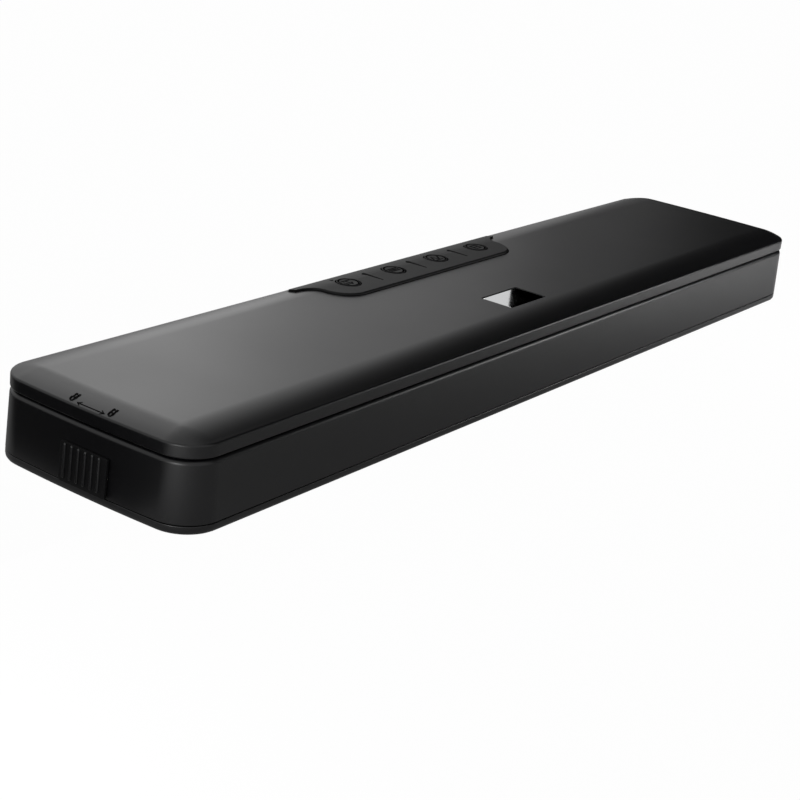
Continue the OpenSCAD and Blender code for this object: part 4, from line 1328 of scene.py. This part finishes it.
@dataclass
class LockSlider:
    """The slider's plate on the left end, leaning as the wall does, with its finger ribs and stem.

    gap is the plate's distance from the wall and the seam. rib_tip rounds a rib's ends: points of
    distance from the end and share of the full section. The stem is given by its ends along Y and Z,
    and stem_x by its ends from the body's end.
    """

    width: float = 17.6
    height: float = 11.5
    thickness: float = 0.9
    corner: float = 0.48
    edge: float = 0.15
    centre_y: float = -1.2
    gap: float = 0.3
    ribs: int = 6
    ribs_shift: float = 0.45
    pitch: float = 2.6
    rib_width: float = 0.9
    rib_height: float = 0.55
    rib_sunk: float = 0.3
    rib_low: float = 1.1
    rib_end: float = 0.2
    rib_tip: tuple[Point, ...] = ((0, 0.25), (0.1, 0.62), (0.3, 0.9), (0.55, 1.0))
    stem: tuple[float, float, float, float] = (2.7, 6.7, 6.7, 11.7)
    stem_x: Point = (-0.8, 2.9)
    stem_corner: float = 0.3

    def lay(self, y: float, up: float, depth: float) -> Vector:
        """Places a point on the leaning end wall.

        Args:
            y: place across the body.
            up: distance along the wall from the seam.
            depth: distance out from the wall.

        Returns:
            The point in the frame.
        """
        out = PLAN.end_x + PLAN.lean * (PLAN.rim_z - PLAN.seam_z)
        lean = math.atan(PLAN.lean)
        x = -out - depth * math.cos(lean) + up * math.sin(lean)
        return PLAN.place(x, y, PLAN.seam_z + up * math.cos(lean) + depth * math.sin(lean))

    def plate(self) -> bpy.types.Object:
        """Makes the plate that stands off the wall.

        Returns:
            The plate, with its edges softened.
        """
        centre, size = (self.centre_y, self.gap + self.height / 2), (self.width, self.height)
        outline = rounded_rectangle(centre, size, self.corner)
        rings = [[self.lay(y, up, depth) for y, up in outline] for depth in (self.gap, self.gap + self.thickness)]
        return soften(loft("slider_cap", rings), self.edge)

    def rib(self, i: int) -> bpy.types.Object:
        """Makes a finger rib: a half-round bar with rounded ends, sunk a little into the plate.

        Args:
            i: the rib's number, from the front.

        Returns:
            The rib.
        """
        y = self.centre_y + self.ribs_shift + (i - (self.ribs - 1) / 2) * self.pitch
        face, half = self.gap + self.thickness, self.rib_width / 2
        low, high = self.gap + self.rib_low, self.gap + self.height - self.rib_end
        sections = [(low + u, share) for u, share in self.rib_tip]
        sections += [(high - u, share) for u, share in reversed(self.rib_tip)]
        rings = []
        for up, share in sections:
            ring = [self.lay(y - half * share, up, face - self.rib_sunk)]
            for a in sweep(math.pi, 0, 12):
                depth = face + self.rib_height * math.sin(a) * share
                ring.append(self.lay(y + half * math.cos(a) * share, up, depth))
            rings.append(ring + [self.lay(y + half * share, up, face - self.rib_sunk)])
        return loft("slider_ribs", rings)

    def build(self) -> bpy.types.Object:
        """Builds the slider.

        Returns:
            The plate with its stem.
        """
        cap = self.plate()
        ribs = self.rib(0)
        for i in range(1, self.ribs):
            combine(ribs, self.rib(i), Change.JOIN)
        shade(ribs)
        y0, y1, z0, z1 = self.stem
        outline = rounded_rectangle(((y0 + y1) / 2, (z0 + z1) / 2), (y1 - y0, z1 - z0), self.stem_corner, 3)
        stem = loft("tool", [[PLAN.place(dx - PLAN.end_x, y, z) for y, z in outline] for dx in self.stem_x])
        shade(combine(cap, stem, Change.JOIN))
        # The plate's darker black is painted shade behind the ribs
        for piece, finish in ((cap, SHADED_PLATE_ABS), (ribs, SATIN_ABS)):
            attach(piece, "slider")
            finish.dress(piece)
        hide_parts("lock_slider")
        return cap


@dataclass
class LockSigns:
    """An open and a closed padlock and a double arrow, printed over the slider on the lid's left end.

    A padlock's body starts at x and runs inwards, and its shackle stands on it towards the lid's edge.
    """

    lid: Lid
    open_y: float = 6.85
    closed_y: float = -7.3
    x: float = -178.85
    half: float = 0.6
    body: float = 1.1
    neck: float = 0.4
    bow: float = 0.75
    open_neck: float = 0.5
    open_shift: float = 0.25
    line: float = 0.75
    arrow_x: float = -180.1
    arrow_y: Point = (-5.3, 4.4)
    arrow_head: Point = (0.5, 0.9)
    arrow_line: float = 0.5
    above: float = 0.01

    def on_lid(self, points: list[Point]) -> list[Vector]:
        """Lays points on the dome."""
        return [PLAN.place(x, y, self.lid.height_at(x, y) + self.above) for x, y in points]

    def padlock(self, y: float, is_open: bool) -> list[list[Vector]]:
        """Gives the strokes of a padlock.

        Args:
            y: its middle.
            is_open: whether its shackle is moved aside and free at one end.

        Returns:
            The body's stroke and the shackle's.
        """
        x, half = self.x, self.half
        corners = ((0, -half), (self.body, -half), (self.body, half), (0, half), (0, -half))
        middle = y + (self.open_shift if is_open else 0)
        shackle = [(x, middle - half)]
        for a in sweep(0, math.pi, 8):
            shackle.append((x - self.neck - self.bow * math.sin(a), middle - half * math.cos(a)))
        shackle.append((x - self.open_neck if is_open else x, middle + half))
        return [self.on_lid([(x + dx, y + dy) for dx, dy in corners]), self.on_lid(shackle)]

    def arrow(self) -> list[list[Vector]]:
        """Gives the strokes of the double arrow.

        Returns:
            The line's stroke and the two heads'.
        """
        (y0, y1), x, (aside, back) = self.arrow_y, self.arrow_x, self.arrow_head
        strokes = [[(x, y) for y in sweep(y0, y1, 8)]]
        for y, way in ((y0, 1), (y1, -1)):
            strokes.append([(x + aside, y + way * back), (x, y), (x - aside, y + way * back)])
        return [self.on_lid(stroke) for stroke in strokes]

    def build(self) -> bpy.types.Object:
        """Builds the signs.

        Returns:
            The padlocks.
        """
        padlocks = self.padlock(self.open_y, True) + self.padlock(self.closed_y, False)
        signs = ribbon("lock_signs", padlocks, self.line)
        arrow = ribbon("lock_arrow", self.arrow(), self.arrow_line)
        for piece in (signs, arrow):
            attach(piece, "lid")
        return signs


@dataclass(frozen=True)
class Carried:
    """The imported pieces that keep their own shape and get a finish."""

    finishes: tuple[tuple[Finish, tuple[str, ...]], ...] = (
        (FOOT_RUBBER, ("rubber_feet",)),
        (NEOPRENE, ("lower_gasket", "upper_gasket")),
        (SILICONE, ("pressure_strip",)),
        (PHENOLIC, ("heater_bar",)),
        (NICHROME, ("heating_strip",)),
        (COATED_CLOTH, ("strip_tape",)),
        (BRASS, ("strip_terminals",)),
        (ZINC_STEEL, ("bottom_screws", "pump_screws", "board_screws", "lid_screws", "panel_screws")),
        (ZINC_STEEL, ("hinge_pins", "lock_shaft", "left_keeper", "right_keeper", "pump_strap", "button_switches")),
        (NICKEL, ("inlet_pins", "sensor_magnet", "pump_motor")),
        (NYLON, ("pump_head",)),
        (ACETAL, ("suction_nozzle", "shaft_bearings", "slider_carriage", "shaft_crank", "left_hook", "right_hook")),
        (TUBE, ("vacuum_hose",)),
        (MASK, ("power_board", "button_board")),
        (WINDING, ("transformer",)),
        (SLEEVE, ("capacitors",)),
        (RELAY_BLUE, ("relay",)),
        (GLASS_TUBE, ("fuse", "lid_sensor")),
        (PLAIN_ABS, ("lid_frame", "window_seat", "mains_inlet")),
        (LIGHT_GUIDE, ("indicator_lens",)),
    )

    def dress(self) -> None:
        """Gives each carried piece its finish."""
        for finish, nodes in self.finishes:
            finish.dress(*(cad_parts[node] for node in nodes))


# ---- Studio


@dataclass
class Studio:
    """Camera, floor, surroundings and lamps.

    The camera's place is in the body's plan and its focal length in pixels of the picture. floor_seen
    is the share of plain white in the floor as the camera sees it. floor_glow and sky_glow are the
    shares of white in the floor and the surroundings as gloss mirrors them, and sky_light is the
    surroundings' strength as light.
    """

    azimuth: float = -55.652
    elevation: float = 20.598
    roll: float = 6.677
    camera_mm: tuple[float, float, float] = (-489.993, -310.551, 201.742)
    focal_pixels: float = 1751.956
    picture_pixels: float = 800
    sensor_mm: float = 36.0
    clip_m: Point = (0.01, 20)
    floor_half: float = 4.0
    floor_colour: str = "#E4E4E4"
    floor_seen: float = 0.985
    floor_glow: float = 0.16
    sky_glow: float = 0.66
    sky_light: float = 0.1
    card_z: float = 0.0005

    def camera(self) -> None:
        """Makes the camera."""
        a, e, r = (math.radians(v) for v in (self.azimuth, self.elevation, self.roll))
        back = Vector((math.sin(a) * math.cos(e), -math.cos(a) * math.cos(e), math.sin(e)))
        right = Vector((math.cos(a), math.sin(a), 0))
        up = back.cross(right)
        right_rolled = right * math.cos(r) + up * math.sin(r)
        up_rolled = up * math.cos(r) - right * math.sin(r)
        data = bpy.data.cameras.new("camera")
        data.sensor_width = self.sensor_mm
        data.lens = self.focal_pixels / self.picture_pixels * self.sensor_mm
        data.clip_start, data.clip_end = self.clip_m
        camera = link("camera", data)
        turn = Matrix((right_rolled, up_rolled, back)).transposed().to_4x4()
        camera.matrix_world = Matrix.Translation(PLAN.place(*self.camera_mm)) @ turn
        bpy.context.scene.camera = camera

    def floor(self) -> None:
        """Makes the pale floor, white to the camera, with the object's soft shadow."""
        half = self.floor_half
        floor = mesh_object("floor", self.flat((-half, half), (-half, half), 0), [[0, 1, 2, 3]])
        made = bpy.data.materials.new("white_floor")
        tree = blank_tree(made)
        lit = add(tree, "ShaderNodeBsdfDiffuse", {"Color": linear(self.floor_colour)})
        white = add(tree, "ShaderNodeEmission", {"Color": (1, 1, 1, 1), "Strength": 1.0})
        rays = add(tree, "ShaderNodeLightPath").outputs
        seen = add(tree, "ShaderNodeMath", {"operation": "MULTIPLY", 1: self.floor_seen}, n0=rays["Is Camera Ray"])
        mirrored = {"operation": "MULTIPLY_ADD", 1: self.floor_glow}
        share = add(tree, "ShaderNodeMath", mirrored, n0=rays["Is Glossy Ray"], n2=seen.outputs[0])
        mix = add(tree, "ShaderNodeMixShader", {}, n0=share.outputs[0], n1=lit.outputs[0], n2=white.outputs[0])
        add(tree, "ShaderNodeOutputMaterial", {}, Surface=mix.outputs[0])
        floor.data.materials.append(made)

    def world(self) -> None:
        """Makes the surroundings: white to the camera, dimmer in gloss, and weak as light."""
        world = bpy.data.worlds.new("surroundings")
        tree = blank_tree(world)
        rays = add(tree, "ShaderNodeLightPath").outputs
        larger = {"operation": "MAXIMUM"}
        mirrored = add(tree, "ShaderNodeMath", {"operation": "MULTIPLY", 1: self.sky_glow}, n0=rays["Is Glossy Ray"])
        seen = add(tree, "ShaderNodeMath", larger, n0=rays["Is Camera Ray"], n1=mirrored.outputs[0])
        share = add(tree, "ShaderNodeMath", larger, n0=seen.outputs[0], n1=rays["Is Transmission Ray"])
        dim = add(tree, "ShaderNodeBackground", {"Color": (1, 1, 1, 1), "Strength": self.sky_light})
        white = add(tree, "ShaderNodeBackground", {"Color": (1, 1, 1, 1), "Strength": 1.0})
        mix = add(tree, "ShaderNodeMixShader", {}, n0=share.outputs[0], n1=dim.outputs[0], n2=white.outputs[0])
        add(tree, "ShaderNodeOutputWorld", {}, Surface=mix.outputs[0])
        bpy.context.scene.world = world

    def lamp(self, name: str, place: Point3, aim: Point3, size: Point, power: float) -> None:
        """Makes a soft rectangular lamp.

        Args:
            name: its name.
            place: where it hangs, in metres.
            aim: what it points at.
            size: its width and height in metres.
            power: its power in watts.
        """
        data = bpy.data.lights.new(name, "AREA")
        data.shape = "RECTANGLE"
        data.size, data.size_y = size
        data.energy = power
        turn = (Vector(aim) - Vector(place)).to_track_quat("-Z", "Y").to_matrix().to_4x4()
        link(name, data).matrix_world = Matrix.Translation(place) @ turn

    def flat(self, x: Point, y: Point, z: float) -> list[Vector]:
        """Gives the corners of a level rectangle between two ends each way, in metres."""
        return [Vector((x[i], y[j], z)) for i, j in ((0, 0), (1, 0), (1, 1), (0, 1))]

    def card(self, name: str, corners: list[Vector]) -> None:
        """Makes a black card that shows only as a reflection.

        Args:
            name: its name.
            corners: its four corners in metres, in order.
        """
        card = mesh_object(name, corners, [[0, 1, 2, 3]])
        made = bpy.data.materials.new(name)
        tree = blank_tree(made)
        black = add(tree, "ShaderNodeBsdfDiffuse", {"Color": (0, 0, 0, 1)})
        add(tree, "ShaderNodeOutputMaterial", {}, Surface=black.outputs[0])
        card.data.materials.append(made)
        card.visible_camera = False

    def wall_card(self, name: str, span: Point, away: float, height: float) -> None:
        """Stands a card upright on the floor.

        Args:
            name: its name.
            span: the directions of its two ends, in degrees from +X.
            away: its distance in metres.
            height: its height in metres.
        """
        middle, half = math.radians(sum(span) / 2), math.radians(abs(span[1] - span[0]) / 2)
        centre = Vector((math.cos(middle), math.sin(middle), 0)) * away
        side = Vector((-math.sin(middle), math.cos(middle), 0)) * away * math.tan(half)
        rise = Vector((0, 0, height))
        self.card(name, [centre - side, centre + side, centre + side + rise, centre - side + rise])

    def lamps(self) -> None:
        """Hangs the lamps."""
        # High behind: it brightens the left of the crown and the window's chamfer
        self.lamp("top_softbox", place=(0.15, 0.84, 0.77), aim=(0, 0, 0.02), size=(0.6, 0.6), power=1.15)
        # Low behind: the lid's top mirrors it on the left, and less and less to the right
        self.lamp("rear_softbox", place=(0.99, 1.13, 0.62), aim=(0, 0, 0.3), size=(0.32, 0.85), power=1.1)
        # Low behind at the right, and weak: it draws the fade in the lid's top out to the far end
        self.lamp("right_softbox", place=(1.348, 0.657, 0.42), aim=(0, 0, 0.1), size=(0.12, 0.5), power=0.052)
        # Near the floor at the right front: it lights the floor that the front wall mirrors
        self.lamp("front_lamp", place=(0.24, -0.2, 0.09), aim=(0.24, -0.199, 0), size=(0.2, 0.12), power=0.75)
        # Near the floor on the left: it lights the floor that the near corner and the slider's ribs mirror
        self.lamp("left_lamp", place=(-0.34, -0.075, 0.07), aim=(-0.34, -0.074, 0), size=(0.07, 0.07), power=0.33)

    def cards(self) -> None:
        """Sets up the black cards."""
        # A dark wall on the right ends the bright reflection in the lid's top half way along
        self.wall_card("dark_wall", span=(30.6, -70), away=1.3, height=4.0)
        # A black card beside the left end, seen only in reflections, is painted shade: it stands in for the shadowed
        # floor that the end wall mirrors
        self.card("floor_shade_card", self.flat((-0.42, -0.189), (-0.016, 0.2), self.card_z))

    def build(self) -> None:
        """Builds the studio."""
        bpy.context.scene.view_settings.view_transform = "Standard"
        self.camera()
        self.floor()
        self.world()
        self.lamps()
        self.cards()


def main() -> None:
    """Builds the studio, then the sealer piece by piece."""
    logging.basicConfig(level=logging.INFO, format="%(name)s: %(message)s")
    Studio().build()
    Carried().dress()
    lid = Lid()
    for made in (
        BaseShell().build(),
        BottomCover().build(),
        lid.build(),
        WINDOW.build(lid.ceiling),
        PANEL.build(lid),
        *Buttons().build(),
        LockSlider().build(),
        LockSigns(lid).build(),
    ):
        LOG.info("%s: %d faces", made.name, len(made.data.polygons))
    bpy.context.view_layer.update()


if __name__ == "__main__":
    main()
